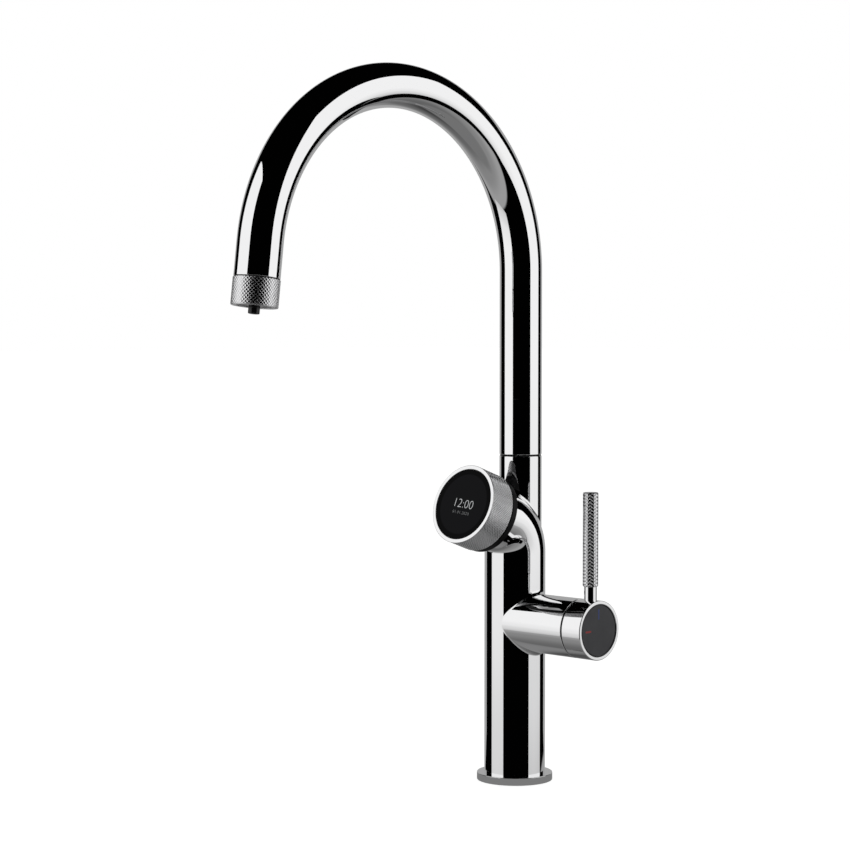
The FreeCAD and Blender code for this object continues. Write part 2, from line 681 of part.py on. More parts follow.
def moving_ceramic_disc():
    back = SEAT_X + CART_BASE_T + CERAMIC_T + RUNNING_FIT
    body = rod(CERAMIC_R - RUNNING_FIT, V(back, 0, LEVER_Z), RIGHT, CERAMIC_T)
    pocket_z = LEVER_Z + CERAMIC_R - MIXING_POCKET_R - MIXING_POCKET_RIM
    pocket = rod(MIXING_POCKET_R, V(back, 0, pocket_z), RIGHT, MIXING_POCKET_DEPTH)
    return body.cut([pocket] + drive_lugs(FIXED_FIT))


def cartridge_spindle():
    back = SEAT_X + CART_BASE_T + 2 * CERAMIC_T + RUNNING_FIT
    hub_back = back + DRIVER_T
    hub_front = CART_FRONT_X - CART_FRONT_T - FACE_GAP
    tip = HANDLE_X + HUB_SHY + SOCKET_LEN
    driver_r = CERAMIC_R - RUNNING_FIT
    outline = [(0, back), (driver_r, back), (driver_r, hub_back), (SPINDLE_HUB_R, hub_back),
               (SPINDLE_HUB_R, hub_front), (SPINDLE_R, hub_front), (SPINDLE_R, HANDLE_X),
               (SPINDLE_END_R, HANDLE_X), (SPINDLE_END_R, tip), (0, tip)]
    flat = block((tip - HANDLE_X, 2 * SPINDLE_END_R, SPINDLE_FLAT),
                 V((tip + HANDLE_X) / 2, 0, LEVER_Z - SPINDLE_END_R + SPINDLE_FLAT / 2), COLUMN)
    return turned(outline, ARM).fuse(drive_lugs(0)).cut(flat)


def cartridge_nut():
    return turned(ring(NUT_R, NUT_BORE_R, CART_FRONT_X, LIP_X), ARM)


# Lever
def handle_glide_ring():
    """Thin black ring in the handle's seam, with a lip that centres it in the arm."""
    lip_r = LIP_BORE_R - FIXED_FIT
    bore_r = LIP_BORE_R - GLIDE_LIP_W
    outer = ARM_R - GLIDE_SHY
    front = ARM_END_X + GLIDE_T
    outline = [(bore_r, LIP_X), (lip_r, LIP_X), (lip_r, ARM_END_X), (outer, ARM_END_X),
               (outer, front), (bore_r, front)]
    return turned(outline, ARM)


def handle_sleeve():
    cavity_r = ARM_R - HANDLE_WALL
    body = rod(ARM_R, V(HANDLE_X, 0, LEVER_Z), RIGHT, HANDLE_LEN)
    hub_back = HANDLE_X + HUB_SHY
    stem_top = V(LEVER_X, 0, LEVER_Z + ARM_R)
    hollow = rod(cavity_r, V(HANDLE_X, 0, LEVER_Z), RIGHT, PLATE_BACK_X - HANDLE_X)
    hub = rod(HUB_R, V(hub_back, 0, LEVER_Z), RIGHT, PLATE_BACK_X - hub_back)
    grub_way = rod(GRUB_R + FIXED_FIT, V(HANDLE_X + GRUB_X, 0, LEVER_Z), -UP, ARM_R)
    cuts = [
        rod(SPINDLE_END_R + FIXED_FIT, V(hub_back, 0, LEVER_Z), RIGHT, SOCKET_LEN),
        rod(ARM_R - RIM_W, V(PLATE_FRONT_X, 0, LEVER_Z), RIGHT, HANDLE_FRONT_X - PLATE_FRONT_X),
        rod(STEM_R + FIXED_FIT, stem_top - UP * STEM_SEAT, UP, STEM_SEAT),
        rod(STEM_STUD_R + FIXED_FIT, V(LEVER_X, 0, LEVER_Z + STEM_STUD_TIP), UP, ARM_R - STEM_STUD_TIP),
        grub_way,
    ]
    return body.cut(hollow).fuse(hub).cut(cuts)


def handle_grub_screw():
    """Set screw that bears on the spindle's flat from below."""
    tip = SPINDLE_END_R - SPINDLE_FLAT + FIXED_FIT
    start = V(HANDLE_X + GRUB_X, 0, LEVER_Z - tip)
    length = HUB_R - tip
    key = hexagon(GRUB_R / 2, length / 2, length)
    key.Placement = frame_on(start, -UP)
    return rod(GRUB_R, start, -UP, length).cut(key)


def indicator_disc():
    radius = ARM_R - RIM_W - FIXED_FIT
    return rod(radius, V(PLATE_FRONT_X, 0, LEVER_Z), RIGHT, DISC_T)


def lever_stem():
    """Stud screwed in the handle's hub, plain neck, and a spigot for the grip."""
    stud_foot = LEVER_Z + STEM_STUD_TIP
    neck_foot = LEVER_Z + ARM_R - STEM_SEAT
    outline = [(0, stud_foot), (STEM_STUD_R, stud_foot), (STEM_STUD_R, neck_foot), (STEM_R, neck_foot),
               (STEM_R, GRIP_Z), (STEM_STUD_R, GRIP_Z), (STEM_STUD_R, GRIP_Z + GRIP_SPIGOT),
               (0, GRIP_Z + GRIP_SPIGOT)]
    return turned(outline, frame_on(V(LEVER_X, 0, 0), UP))


def lever_grip():
    bore_r = STEM_STUD_R + FIXED_FIT
    top = GRIP_Z + GRIP_LEN
    bore_top = GRIP_Z + GRIP_SPIGOT + FACE_GAP
    outline = [(bore_r, GRIP_Z), (GRIP_R - GRIP_EDGE, GRIP_Z), (GRIP_R, GRIP_Z + GRIP_EDGE),
               (GRIP_R, top - GRIP_EDGE), (GRIP_R - GRIP_EDGE, top), (0, top), (0, bore_top),
               (bore_r, bore_top)]
    return turned(outline, frame_on(V(LEVER_X, 0, 0), UP))


# Dial: fixed pieces
def dial_base():
    """Black ring on the elbow's end, with a spigot in the elbow and a guide tube for the stem."""
    outer = DIAL_R - DIAL_BASE_SHY
    spigot_r = COLUMN_BORE_R - FIXED_FIT
    spigot_bore = spigot_r - BASE_SPIGOT_WALL
    guide_outer = GUIDE_R + GUIDE_WALL
    outline = [(GUIDE_R, -BASE_SPIGOT_LEN), (guide_outer, -BASE_SPIGOT_LEN), (guide_outer, 0),
               (spigot_bore, 0), (spigot_bore, -BASE_SPIGOT_LEN), (spigot_r, -BASE_SPIGOT_LEN),
               (spigot_r, 0), (outer, 0), (outer, DIAL_BASE_T), (guide_outer, DIAL_BASE_T),
               (guide_outer, GUIDE_END), (GUIDE_R, GUIDE_END)]
    return turned(outline, DIAL)


def encoder_board():
    inner = GUIDE_R + GUIDE_WALL + FIXED_FIT
    return turned(ring(inner + ENCODER_BOARD_W, inner, DIAL_BASE_T, SWITCH_BACK), DIAL)


def push_switches():
    size = (SWITCH_SIZE, SWITCH_SIZE, SWITCH_T)
    middle = (SWITCH_BACK + SWITCH_FRONT) / 2
    floor = SWITCH_FRONT - PLUNGER_IN - PUSH_TRAVEL - PLUNGER_ROOM
    bores = dial_rods(PLUNGER_R + RUNNING_FIT, SWITCH_CIRCLE_R, floor, SWITCH_FRONT)
    bodies = [block(size, on_dial_circle(SWITCH_CIRCLE_R, middle, angle), DIAL) for angle in THIRDS]
    return Part.makeCompound([body.cut(bore) for body, bore in zip(bodies, bores)])


# Dial: pieces that are pushed
def switch_plungers():
    rods = dial_rods(PLUNGER_R, SWITCH_CIRCLE_R, SWITCH_FRONT - PLUNGER_IN, PLATE_BACK)
    return Part.makeCompound(rods)


def display_carrier():
    """Cup behind the glass on a hollow stem that slides in the base's guide tube."""
    stem_r = GUIDE_R - RUNNING_FIT
    bore_r = stem_r - CARRIER_STEM_WALL
    plate_r = SLEEVE_BORE_R - BUSH_WALL / 2
    cup_r = CARRIER_R - CARRIER_WALL
    groove_r = stem_r - CLIP_GROOVE_DEPTH
    groove_back = CLIP_FRONT - CLIP_T
    tail = groove_back - CLIP_TAIL
    outline = [(bore_r, tail), (stem_r, tail), (stem_r, groove_back), (groove_r, groove_back),
               (groove_r, CLIP_FRONT), (stem_r, CLIP_FRONT), (stem_r, PLATE_BACK),
               (plate_r, PLATE_BACK), (plate_r, PLATE_FRONT), (CARRIER_R, PLATE_FRONT),
               (CARRIER_R, GLASS_BACK), (cup_r, GLASS_BACK), (cup_r, PLATE_FRONT), (bore_r, PLATE_FRONT)]
    post_front = PLATE_FRONT + CARRIER_POST_H
    posts = dial_rods(CARRIER_POST_R, cup_r - CARRIER_POST_INSET, PLATE_FRONT, post_front)
    return turned(outline, DIAL).fuse(posts)


def circuit_board():
    radius = CARRIER_R - CARRIER_WALL - BOARD_GAP
    back = PLATE_FRONT + CARRIER_POST_H
    return turned([(0, back), (radius, back), (radius, back + BOARD_T), (0, back + BOARD_T)], DIAL)


def display_panel():
    back = GLASS_BACK - PANEL_T
    return turned([(0, back), (PANEL_R, back), (PANEL_R, GLASS_BACK), (0, GLASS_BACK)], DIAL)


def display_glass():
    radius = DIAL_R - BEZEL_W - GLASS_GAP
    outline = [(0, GLASS_BACK), (radius, GLASS_BACK), (radius, GLASS_FRONT), (0, GLASS_FRONT)]
    return turned(outline, DIAL)


def stem_clip():
    inner = GUIDE_R - RUNNING_FIT - CLIP_GROOVE_DEPTH + FIXED_FIT
    outer = inner + CLIP_W
    back = CLIP_FRONT - CLIP_T
    mouth = Part.makeBox(outer, CLIP_MOUTH, CLIP_T, V(0, -CLIP_MOUTH / 2, back))
    mouth.Placement = DIAL
    return turned(ring(outer, inner, back, CLIP_FRONT), DIAL).cut(mouth)


# Dial: pieces that turn
def dial_sleeve():
    outline = [(SLEEVE_BORE_R, SLEEVE_BACK), (DIAL_R - SLEEVE_EDGE, SLEEVE_BACK),
               (DIAL_R, SLEEVE_BACK + SLEEVE_EDGE), (DIAL_R, SLEEVE_FRONT), (SLEEVE_BORE_R, SLEEVE_FRONT)]
    return turned(outline, DIAL)


def dial_bezel():
    """Polished front ring with a lip that centres it in the sleeve."""
    inner = DIAL_R - BEZEL_W
    lip_r = SLEEVE_BORE_R - FIXED_FIT
    lip_back = SLEEVE_FRONT - BEZEL_LIP_T
    outline = [(inner, lip_back), (lip_r, lip_back), (lip_r, SLEEVE_FRONT), (DIAL_R, SLEEVE_FRONT),
               (DIAL_R, DIAL_FRONT - BEZEL_EDGE), (DIAL_R - BEZEL_EDGE, DIAL_FRONT),
               (inner + BEZEL_EDGE, DIAL_FRONT), (inner, DIAL_FRONT - BEZEL_EDGE)]
    return turned(outline, DIAL)


def dial_bush():
    outer = SLEEVE_BORE_R - FIXED_FIT
    back = PLATE_FRONT + FACE_GAP
    front = GLASS_BACK - BUSH_FRONT_GAP
    return turned(ring(outer, CARRIER_R + RUNNING_FIT, back, front), DIAL)


def encoder_magnet():
    outer = SLEEVE_BORE_R - FIXED_FIT
    back = SLEEVE_BACK + MAGNET_STEP
    return turned(ring(outer, outer - MAGNET_W, back, back + MAGNET_LEN), DIAL)


PIECES = {
    "base_flange": base_flange(),
    "base_seal": base_seal(),
    "inlet_block": inlet_block(),
    "cable_grommet": cable_grommet(),
    "hot_feed_tube": feed_tube(1),
    "cold_feed_tube": feed_tube(-1),
    "mixed_water_tube": mixed_water_tube(),
    "body_casting": body_casting(),
    "filtered_line_lower": filtered_line_lower(),
    "filtered_line_union": filtered_line_union(),
    "filtered_line_upper": filtered_line_upper(),
    "swivel_seat": swivel_seat(),
    "swivel_glide_ring": swivel_glide_ring(),
    "swivel_stop_screw": swivel_stop_screw(),
    "spout_spigot": spout_spigot(),
    "spout_o_rings": spout_o_rings(),
    "spout_tube": spout_tube(),
    "outlet_adapter": outlet_adapter(),
    "aerator_collar": aerator_collar(),
    "aerator_seal": aerator_seal(),
    "aerator_insert": aerator_insert(),
    "filter_nozzle": filter_nozzle(),
    "cartridge_base": cartridge_base(),
    "cartridge_seals": cartridge_seals(),
    "cartridge_housing": cartridge_housing(),
    "fixed_ceramic_disc": fixed_ceramic_disc(),
    "moving_ceramic_disc": moving_ceramic_disc(),
    "cartridge_spindle": cartridge_spindle(),
    "cartridge_nut": cartridge_nut(),
    "handle_glide_ring": handle_glide_ring(),
    "handle_sleeve": handle_sleeve(),
    "handle_grub_screw": handle_grub_screw(),
    "indicator_disc": indicator_disc(),
    "lever_stem": lever_stem(),
    "lever_grip": lever_grip(),
    "dial_base": dial_base(),
    "encoder_board": encoder_board(),
    "push_switches": push_switches(),
    "switch_plungers": switch_plungers(),
    "display_carrier": display_carrier(),
    "circuit_board": circuit_board(),
    "display_panel": display_panel(),
    "display_glass": display_glass(),
    "stem_clip": stem_clip(),
    "dial_sleeve": dial_sleeve(),
    "dial_bezel": dial_bezel(),
    "dial_bush": dial_bush(),
    "encoder_magnet": encoder_magnet(),
}

os.makedirs("parts", exist_ok=True)
for name, piece in PIECES.items():
    piece.exportStep("parts/" + name + ".step")
    print(name, "solids", len(piece.Solids), "valid", piece.isValid(), "volume", round(piece.Volume, 1))
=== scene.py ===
import json
import math

import bpy
from mathutils import Matrix, Vector


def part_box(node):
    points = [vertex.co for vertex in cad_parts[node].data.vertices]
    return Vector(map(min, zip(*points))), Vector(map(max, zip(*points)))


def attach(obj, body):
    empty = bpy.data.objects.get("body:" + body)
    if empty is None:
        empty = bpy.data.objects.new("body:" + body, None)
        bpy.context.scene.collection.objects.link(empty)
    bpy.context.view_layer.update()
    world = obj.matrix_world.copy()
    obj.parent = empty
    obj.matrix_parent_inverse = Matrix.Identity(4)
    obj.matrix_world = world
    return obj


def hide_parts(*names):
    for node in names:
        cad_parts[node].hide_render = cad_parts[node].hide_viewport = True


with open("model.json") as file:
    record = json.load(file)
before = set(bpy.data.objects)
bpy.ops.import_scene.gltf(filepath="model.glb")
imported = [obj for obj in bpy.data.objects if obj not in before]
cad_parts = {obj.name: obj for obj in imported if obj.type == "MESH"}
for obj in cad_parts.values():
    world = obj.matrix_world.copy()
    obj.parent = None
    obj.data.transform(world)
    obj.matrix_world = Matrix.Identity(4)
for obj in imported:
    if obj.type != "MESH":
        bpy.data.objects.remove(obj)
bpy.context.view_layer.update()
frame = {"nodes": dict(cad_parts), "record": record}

NODES = frame["nodes"]
MM = 0.001
TAU = 2 * math.pi
X_WAY = Vector((1, 0, 0))
Y_WAY = Vector((0, 1, 0))
Z_WAY = Vector((0, 0, 1))

# Sizes that the frame gives
FLANGE_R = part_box("base_flange")[1].x
FLANGE_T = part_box("base_flange")[1].z
SEAL_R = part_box("base_seal")[1].x
SEAL_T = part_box("base_seal")[1].z
BLOCK_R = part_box("inlet_block")[1].x
COLUMN_R = -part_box("body_casting")[0].x
ARM_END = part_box("body_casting")[1].x
NECK_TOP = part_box("body_casting")[1].z
ARM_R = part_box("handle_sleeve")[1].y
SLEEVE_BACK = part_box("handle_sleeve")[0].x
SLEEVE_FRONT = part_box("handle_sleeve")[1].x
ARM_Z = (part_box("handle_sleeve")[0].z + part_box("handle_sleeve")[1].z) / 2
ARM_GLIDE_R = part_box("handle_glide_ring")[1].y
ARM_GLIDE_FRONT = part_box("handle_glide_ring")[1].x
DISC_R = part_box("indicator_disc")[1].y
DISC_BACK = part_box("indicator_disc")[0].x
DISC_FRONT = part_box("indicator_disc")[1].x
STEM_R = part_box("lever_stem")[1].y
LEVER_X = (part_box("lever_grip")[0].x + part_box("lever_grip")[1].x) / 2
GRIP_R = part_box("lever_grip")[1].y
GRIP_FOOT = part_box("lever_grip")[0].z
GRIP_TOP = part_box("lever_grip")[1].z
TUBE_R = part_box("spout_tube")[1].x
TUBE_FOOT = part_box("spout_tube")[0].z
NECK_R = TUBE_R
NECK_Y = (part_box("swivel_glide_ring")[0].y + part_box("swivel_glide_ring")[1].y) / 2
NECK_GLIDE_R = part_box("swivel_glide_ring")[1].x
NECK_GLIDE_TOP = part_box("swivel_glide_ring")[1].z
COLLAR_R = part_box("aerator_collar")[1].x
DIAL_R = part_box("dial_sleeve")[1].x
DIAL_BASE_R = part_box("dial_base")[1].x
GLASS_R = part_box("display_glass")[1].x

# Sizes of the casting and of the rings in its seams
SEAL_W = 2.8 * MM
FLANGE_GAP = 0.05 * MM
FLANGE_EDGE = 0.35 * MM
ARM_FILLET = 2.5 * MM
ARM_HOLE_TURN = math.radians(74)
ARM_BORE = 16.4 * MM
BEND_Z = 151.8 * MM
BEND_R = 24.0 * MM
DIAL_TILT = math.radians(19.5)
BEND_TURN = math.pi / 2 - DIAL_TILT
ELBOW_REACH = 10.7 * MM
NECK_FILLET = 2.5 * MM
NECK_BORE = 12.85 * MM
BORE_DEPTH = 4 * MM
STOP_Z = 206.2 * MM
SCREW_HOLE_R = 2.55 * MM
SCREW_HOLE_DEPTH = 2.7 * MM
CRISP_EDGE = 0.42 * MM
SEAM_RING_W = 3 * MM
SEAM_RING_EDGE = 0.1 * MM

# Sizes of the lever
RIM_W = 2.3 * MM
RIM_EDGE = 0.6 * MM
GRUB_X = SLEEVE_BACK + 4.0 * MM
SLEEVE_BORE = 16.5 * MM
SLEEVE_BORE_DEPTH = 1 * MM
SLEEVE_MIDDLE = LEVER_X + 3 * MM
STEM_FOOT = ARM_Z + ARM_R - 1.7 * MM
STEM_EDGE = 0.15 * MM
GRIP_EDGE = 0.5 * MM
GRIP_KNURL = {"around": 10, "rows": 27, "depth": 0.15 * MM, "groove": 0.54 * MM, "cuts": 3}
TICK_W = 1.25 * MM
TICK_H = 0.08 * MM
TICK_EDGE = 0.03 * MM
BLUE_TICK_LEN = 6.6 * MM
BLUE_TICK_R = 10.6 * MM
RED_TICK_LEN = 5.4 * MM
RED_TICK_R = 10.1 * MM
DISC_GROOVE_W = 0.7 * MM
DISC_GROOVE_T = 0.6 * MM
DISC_EDGE = 0.12 * MM

# Sizes of the spout, the collar's along its axis from the tube's end
ARCH_R = 114.0 * MM
ARCH_Z = 337.6 * MM
ARCH_TURN = math.radians(173.0)
OUTLET_RUN = 21.5 * MM
TUBE_WALL = 1.2 * MM
COLLAR_LEN = 17.2 * MM
COLLAR_BORE = 12.3 * MM
COLLAR_SEAM = 0.5 * MM
COLLAR_SEAM_R = COLLAR_R - 0.9 * MM
COLLAR_EDGE = 0.15 * MM
COLLAR_EDGE_W = 0.3 * MM
COLLAR_GAP = 0.02 * MM
COLLAR_RING_SINK = 0.2 * MM
COLLAR_RING_START = 0.04 * MM
COLLAR_RING_EDGE = 0.05 * MM
COLLAR_KNURL = {"around": 36, "rows": 7, "depth": 0.13 * MM, "groove": 0.64 * MM, "cuts": 1}
LIP_H = 0.5 * MM
LIP_R = COLLAR_R - 0.14 * MM
LIP_T = 1.4 * MM
LIP_EDGE = 0.2 * MM
LIP_SHOULDER = 0.06 * MM
MOUTH_R = 10.65 * MM
MOUTH_EDGE = 0.25 * MM
NOZZLE_R = 3.5 * MM
NOZZLE_IN = 3 * MM
NOZZLE_OUT = 4.4 * MM
NOZZLE_BORE = 1.6 * MM
NOZZLE_EDGE = 0.6 * MM

# Sizes of the dial, along its axis from the elbow's end
DIAL_BASE_T = 4.4 * MM
DIAL_BASE_BORE = GLASS_R - 10 * MM
DIAL_BASE_EDGE = 0.5 * MM
DIAL_START = 5.6 * MM
DIAL_END = 24.2 * MM
DIAL_EDGE = 0.3 * MM
DIAL_WALL = 1.9 * MM
DIAL_KNURL = {"around": 84, "rows": 11, "depth": 0.2 * MM, "groove": 0.8 * MM, "cuts": 0}
BEZEL_END = 25.0 * MM
BEZEL_W = 2.6 * MM
BEZEL_EDGE = 0.3 * MM
GLASS_FRONT = 24.6 * MM
GLASS_T = 1.6 * MM
GLASS_EDGE = 0.15 * MM
SCREEN_R = 0.87 * GLASS_R
SCREEN_FADE = 0.5 * MM
DISPLAY_TURN = math.radians(-5)
DIGIT_T = 0.01 * MM
DIGIT_THINNING = 0.02
TIME_H = 8.4 * MM
DATE_H = 2.8 * MM
DATE_DROP = 5.9 * MM

# Fineness of the meshes, with creases in degrees and welds in metres
ROUND = 96
COARSE_ROUND = 64
DISC_ROUND = 128
FINE_ROUND = 160
SIDE_ANGLE = TAU / ROUND
FILLET_STEPS = 8
EDGE_STEPS = 4
WALL_STEPS = 4
RISE_STEPS = 12
ARCH_STEPS = 140
OUTLET_STEPS = 4
HALVINGS = 40
RING_SHARES = (0.2, 0.4, 0.6, 0.8, 1.0)
NECK_HOLE_SHARES = (0.4, 0.8, 1.0)
SLEEVE_HOLE_SHARES = (0.5, 1.0)
SHARP_EDGE = math.radians(30)
EDGE_CREASE = 40
COLLAR_CREASE = 35
KNURL_CREASE = 12
KNURL_STEP = 0.1 * MM
WELD = 2e-6
KNURL_WELD = 5e-6
DIGIT_WELD = 1e-7
TINY = 1e-6


# Places that pieces are built on
def place(origin, axis, across):
    """Matrix that sets a piece built about Z on an origin, along an axis."""
    axis = Vector(axis).normalized()
    across = Vector(across).normalized()
    up = axis.cross(across)
    turn = Matrix((across, up, axis)).transposed().to_4x4()
    return Matrix.Translation(Vector(origin)) @ turn


def elbow_frame(run):
    """Centre and outward direction of the casting's bar, at a run along its middle."""
    if run <= BEND_Z:
        return Vector((0, 0, run)), Vector((0, 1, 0))
    turn = min((run - BEND_Z) / BEND_R, BEND_TURN)
    outward = Vector((0, math.cos(turn), math.sin(turn)))
    centre = Vector((0, -BEND_R, BEND_Z)) + outward * BEND_R
    straight = run - BEND_Z - BEND_R * turn
    return centre + Vector((0, -outward.z, outward.y)) * max(straight, 0), outward


BAR_END = BEND_Z + BEND_R * BEND_TURN + ELBOW_REACH
DIAL_AXIS = Vector((0, -math.cos(DIAL_TILT), math.sin(DIAL_TILT)))
ARCH_CENTRE = Vector((0, NECK_Y - ARCH_R, ARCH_Z))
FLOW = Vector((0, -math.sin(ARCH_TURN), math.cos(ARCH_TURN)))
TUBE_END = ARCH_CENTRE + Vector((0, FLOW.z, -FLOW.y)) * ARCH_R + FLOW * OUTLET_RUN
ON_DECK = Matrix.Identity(4)
ON_NECK = Matrix.Translation((0, NECK_Y, 0))
ON_ARM = place((0, 0, ARM_Z), X_WAY, Y_WAY)
ON_LEVER = Matrix.Translation((LEVER_X, 0, 0))
ON_DIAL = place(elbow_frame(BAR_END)[0], DIAL_AXIS, X_WAY)
ON_OUTLET = place(TUBE_END, FLOW, X_WAY)


# Modelling by hand
def fresh_start():
    """Leaves edit mode with nothing selected."""
    if bpy.context.object and bpy.context.object.mode != "OBJECT":
        bpy.ops.object.mode_set(mode="OBJECT")
    bpy.ops.object.select_all(action="DESELECT")


def named(name):
    """The piece that was just added, under its name."""
    piece = bpy.context.object
    piece.name = name
    return piece


def work_on(piece):
    """Makes a piece the only selected one."""
    fresh_start()
    piece.select_set(True)
    bpy.context.view_layer.objects.active = piece


def open_mesh(piece, action="SELECT"):
    """Takes a piece into edit mode with all of it selected, or none."""
    work_on(piece)
    bpy.ops.object.mode_set(mode="EDIT")
    bpy.ops.mesh.select_all(action=action)


def close_mesh():
    bpy.ops.object.mode_set(mode="OBJECT")


def draw_out(offset):
    """Extrudes what is selected by an offset, in edit mode."""
    bpy.ops.mesh.extrude_region_move(TRANSFORM_OT_translate={"value": offset})


def widen(share, height):
    """Scales what is selected away from Z, in edit mode."""
    bpy.ops.transform.resize(value=(share, share, 1), center_override=(0, 0, height))


def apply_modifier(piece, kind, **settings):
    work_on(piece)
    modifier = piece.modifiers.new(kind.title(), kind)
    for name, value in settings.items():
        setattr(modifier, name, value)
    bpy.ops.object.modifier_apply(modifier=modifier.name)


def close_seams(piece, reach=WELD):
    """Merges doubles and points every face outwards."""
    open_mesh(piece)
    bpy.ops.mesh.remove_doubles(threshold=reach)
    bpy.ops.mesh.normals_make_consistent(inside=False)
    close_mesh()


def set_in_place(piece, where):
    """Moves a piece to its place, and the place into its mesh."""
    work_on(piece)
    piece.matrix_world = where @ piece.matrix_world
    bpy.ops.object.transform_apply(location=True, rotation=True, scale=True)


def smooth(piece, angle):
    work_on(piece)
    bpy.ops.object.shade_smooth_by_angle(angle=math.radians(angle))


def soften(piece, width, steps=3):
    """Rounds the sharp edges and keeps the broad faces true."""
    apply_modifier(piece, "BEVEL", width=width, segments=steps, limit_method="ANGLE",
                   angle_limit=SHARP_EDGE, use_clamp_overlap=True)
    smooth(piece, EDGE_CREASE)
    apply_modifier(piece, "WEIGHTED_NORMAL", keep_sharp=True, weight=90)


def turned(name, outline, where, edge, sides=ROUND, solid=False):
    """Turns (radius, height) points about Z into a ring, or a solid from first to last."""
    fresh_start()
    radius, height = outline[0]
    bpy.ops.mesh.primitive_circle_add(vertices=sides, radius=radius, location=(0, 0, height),
                                      fill_type="NGON" if solid else "NOTHING")
    piece = named(name)
    bpy.ops.object.transform_apply(location=True)
    open_mesh(piece)
    for next_radius, next_height in outline[1:] + ([] if solid else outline[:1]):
        draw_out((0, 0, next_height - height))
        widen(next_radius / radius, next_height)
        radius, height = next_radius, next_height
    close_seams(piece)
    soften(piece, edge)
    set_in_place(piece, where)
    return piece


def ring(name, where, radii, span, edge, sides=ROUND):
    """A ring of square section between two radii and two heights."""
    (inner, outer), (start, end) = radii, span
    outline = [(inner, start), (outer, start), (outer, end), (inner, end)]
    return turned(name, outline, where, edge, sides)


def rod(name, where, radius, span, edge, sides=ROUND):
    """A round bar between two heights."""
    return turned(name, [(radius, height) for height in span], where, edge, sides, solid=True)


def knurled_tube(name, radius, length, around, rows, depth, groove, cuts):
    """Rolls a flat sheet of raised diamonds into a tube about Z, open at both ends."""
    root = radius - depth
    wide = TAU * root / around
    tall = length / rows
    middle = (0, 0, 0)
    fresh_start()
    bpy.ops.mesh.primitive_plane_add(size=1)
    sheet = named(name)
    open_mesh(sheet)
    bpy.ops.transform.rotate(value=math.pi / 4, orient_axis="Z", center_override=middle)
    diagonal = math.sqrt(2)
    bpy.ops.transform.resize(value=(wide / diagonal, tall / diagonal, 1), center_override=middle)
    bpy.ops.mesh.inset(thickness=groove / 2, depth=depth)
    if cuts:
        bpy.ops.mesh.subdivide(number_cuts=cuts)
    bpy.ops.mesh.select_all(action="SELECT")
    bpy.ops.transform.rotate(value=-math.pi / 2, orient_axis="X", center_override=middle)
    work_on(sheet)
    bpy.ops.object.duplicate()
    offset_sheet = bpy.context.object
    offset_sheet.location = (wide / 2, 0, tall / 2)
    for piece, up in ((sheet, rows + 1), (offset_sheet, rows)):
        for count, step in ((around, (wide, 0, 0)), (up, (0, 0, tall))):
            apply_modifier(piece, "ARRAY", count=count, use_relative_offset=False,
                           use_constant_offset=True, constant_offset_displace=step)
    work_on(sheet)
    offset_sheet.select_set(True)
    bpy.ops.object.join()
    bpy.ops.object.mode_set(mode="EDIT")
    for height, keep_above in ((0, True), (length, False)):
        bpy.ops.mesh.select_all(action="SELECT")
        bpy.ops.mesh.bisect(plane_co=(0, 0, height), plane_no=(0, 0, 1),
                            clear_inner=keep_above, clear_outer=not keep_above)
    close_mesh()
    # The sheet is half a diamond wider than one turn, so that its toothed ends interlock
    apply_modifier(sheet, "SIMPLE_DEFORM", deform_method="BEND", deform_axis="Z",
                   angle=TAU * (around + 0.5) / around)
    close_seams(sheet, KNURL_WELD)
    open_mesh(sheet)
    bpy.ops.transform.translate(value=(0, -root, 0))
    close_mesh()
    return sheet


def select_rim(piece, height):
    """Selects the open edge loop at a height, in edit mode."""
    open_mesh(piece, "DESELECT")
    bpy.ops.mesh.select_mode(type="VERT")
    bpy.ops.mesh.select_non_manifold(extend=False)
    close_mesh()
    vertices = piece.data.vertices
    for vertex in vertices:
        if abs(vertex.co.z - height) > TINY:
            vertex.select = False
    for edge in piece.data.edges:
        edge.select = edge.select and all(vertices[v].select for v in edge.vertices)
    bpy.ops.object.mode_set(mode="EDIT")


def rim_radius(piece):
    """Distance from Z of the selected rim, in edit mode."""
    piece.update_from_editmode()
    return max(vertex.co.to_2d().length for vertex in piece.data.vertices if vertex.select)


def finish_rim(piece, height, steps, close=False):
    """Draws an open rim to true circles at (radius, height) steps, with a flat face if asked."""
    select_rim(piece, height)
    level = height
    for radius, next_level in steps:
        draw_out((0, 0, next_level - level))
        bpy.ops.transform.tosphere(value=1)
        level = next_level
        widen(radius / rim_radius(piece), level)
    if close:
        bpy.ops.mesh.edge_face_add()
    close_mesh()


def join_rims(piece):
    """Bridges the two open rims with a wall."""
    open_mesh(piece, "DESELECT")
    bpy.ops.mesh.select_non_manifold(extend=False)
    bpy.ops.mesh.bridge_edge_loops()
    close_mesh()


def settle(piece, crease, where):
    """Closes a knurled piece, keeps its creases and moves it to its place."""
    close_seams(piece)
    smooth(piece, crease)
    set_in_place(piece, where)
    return piece


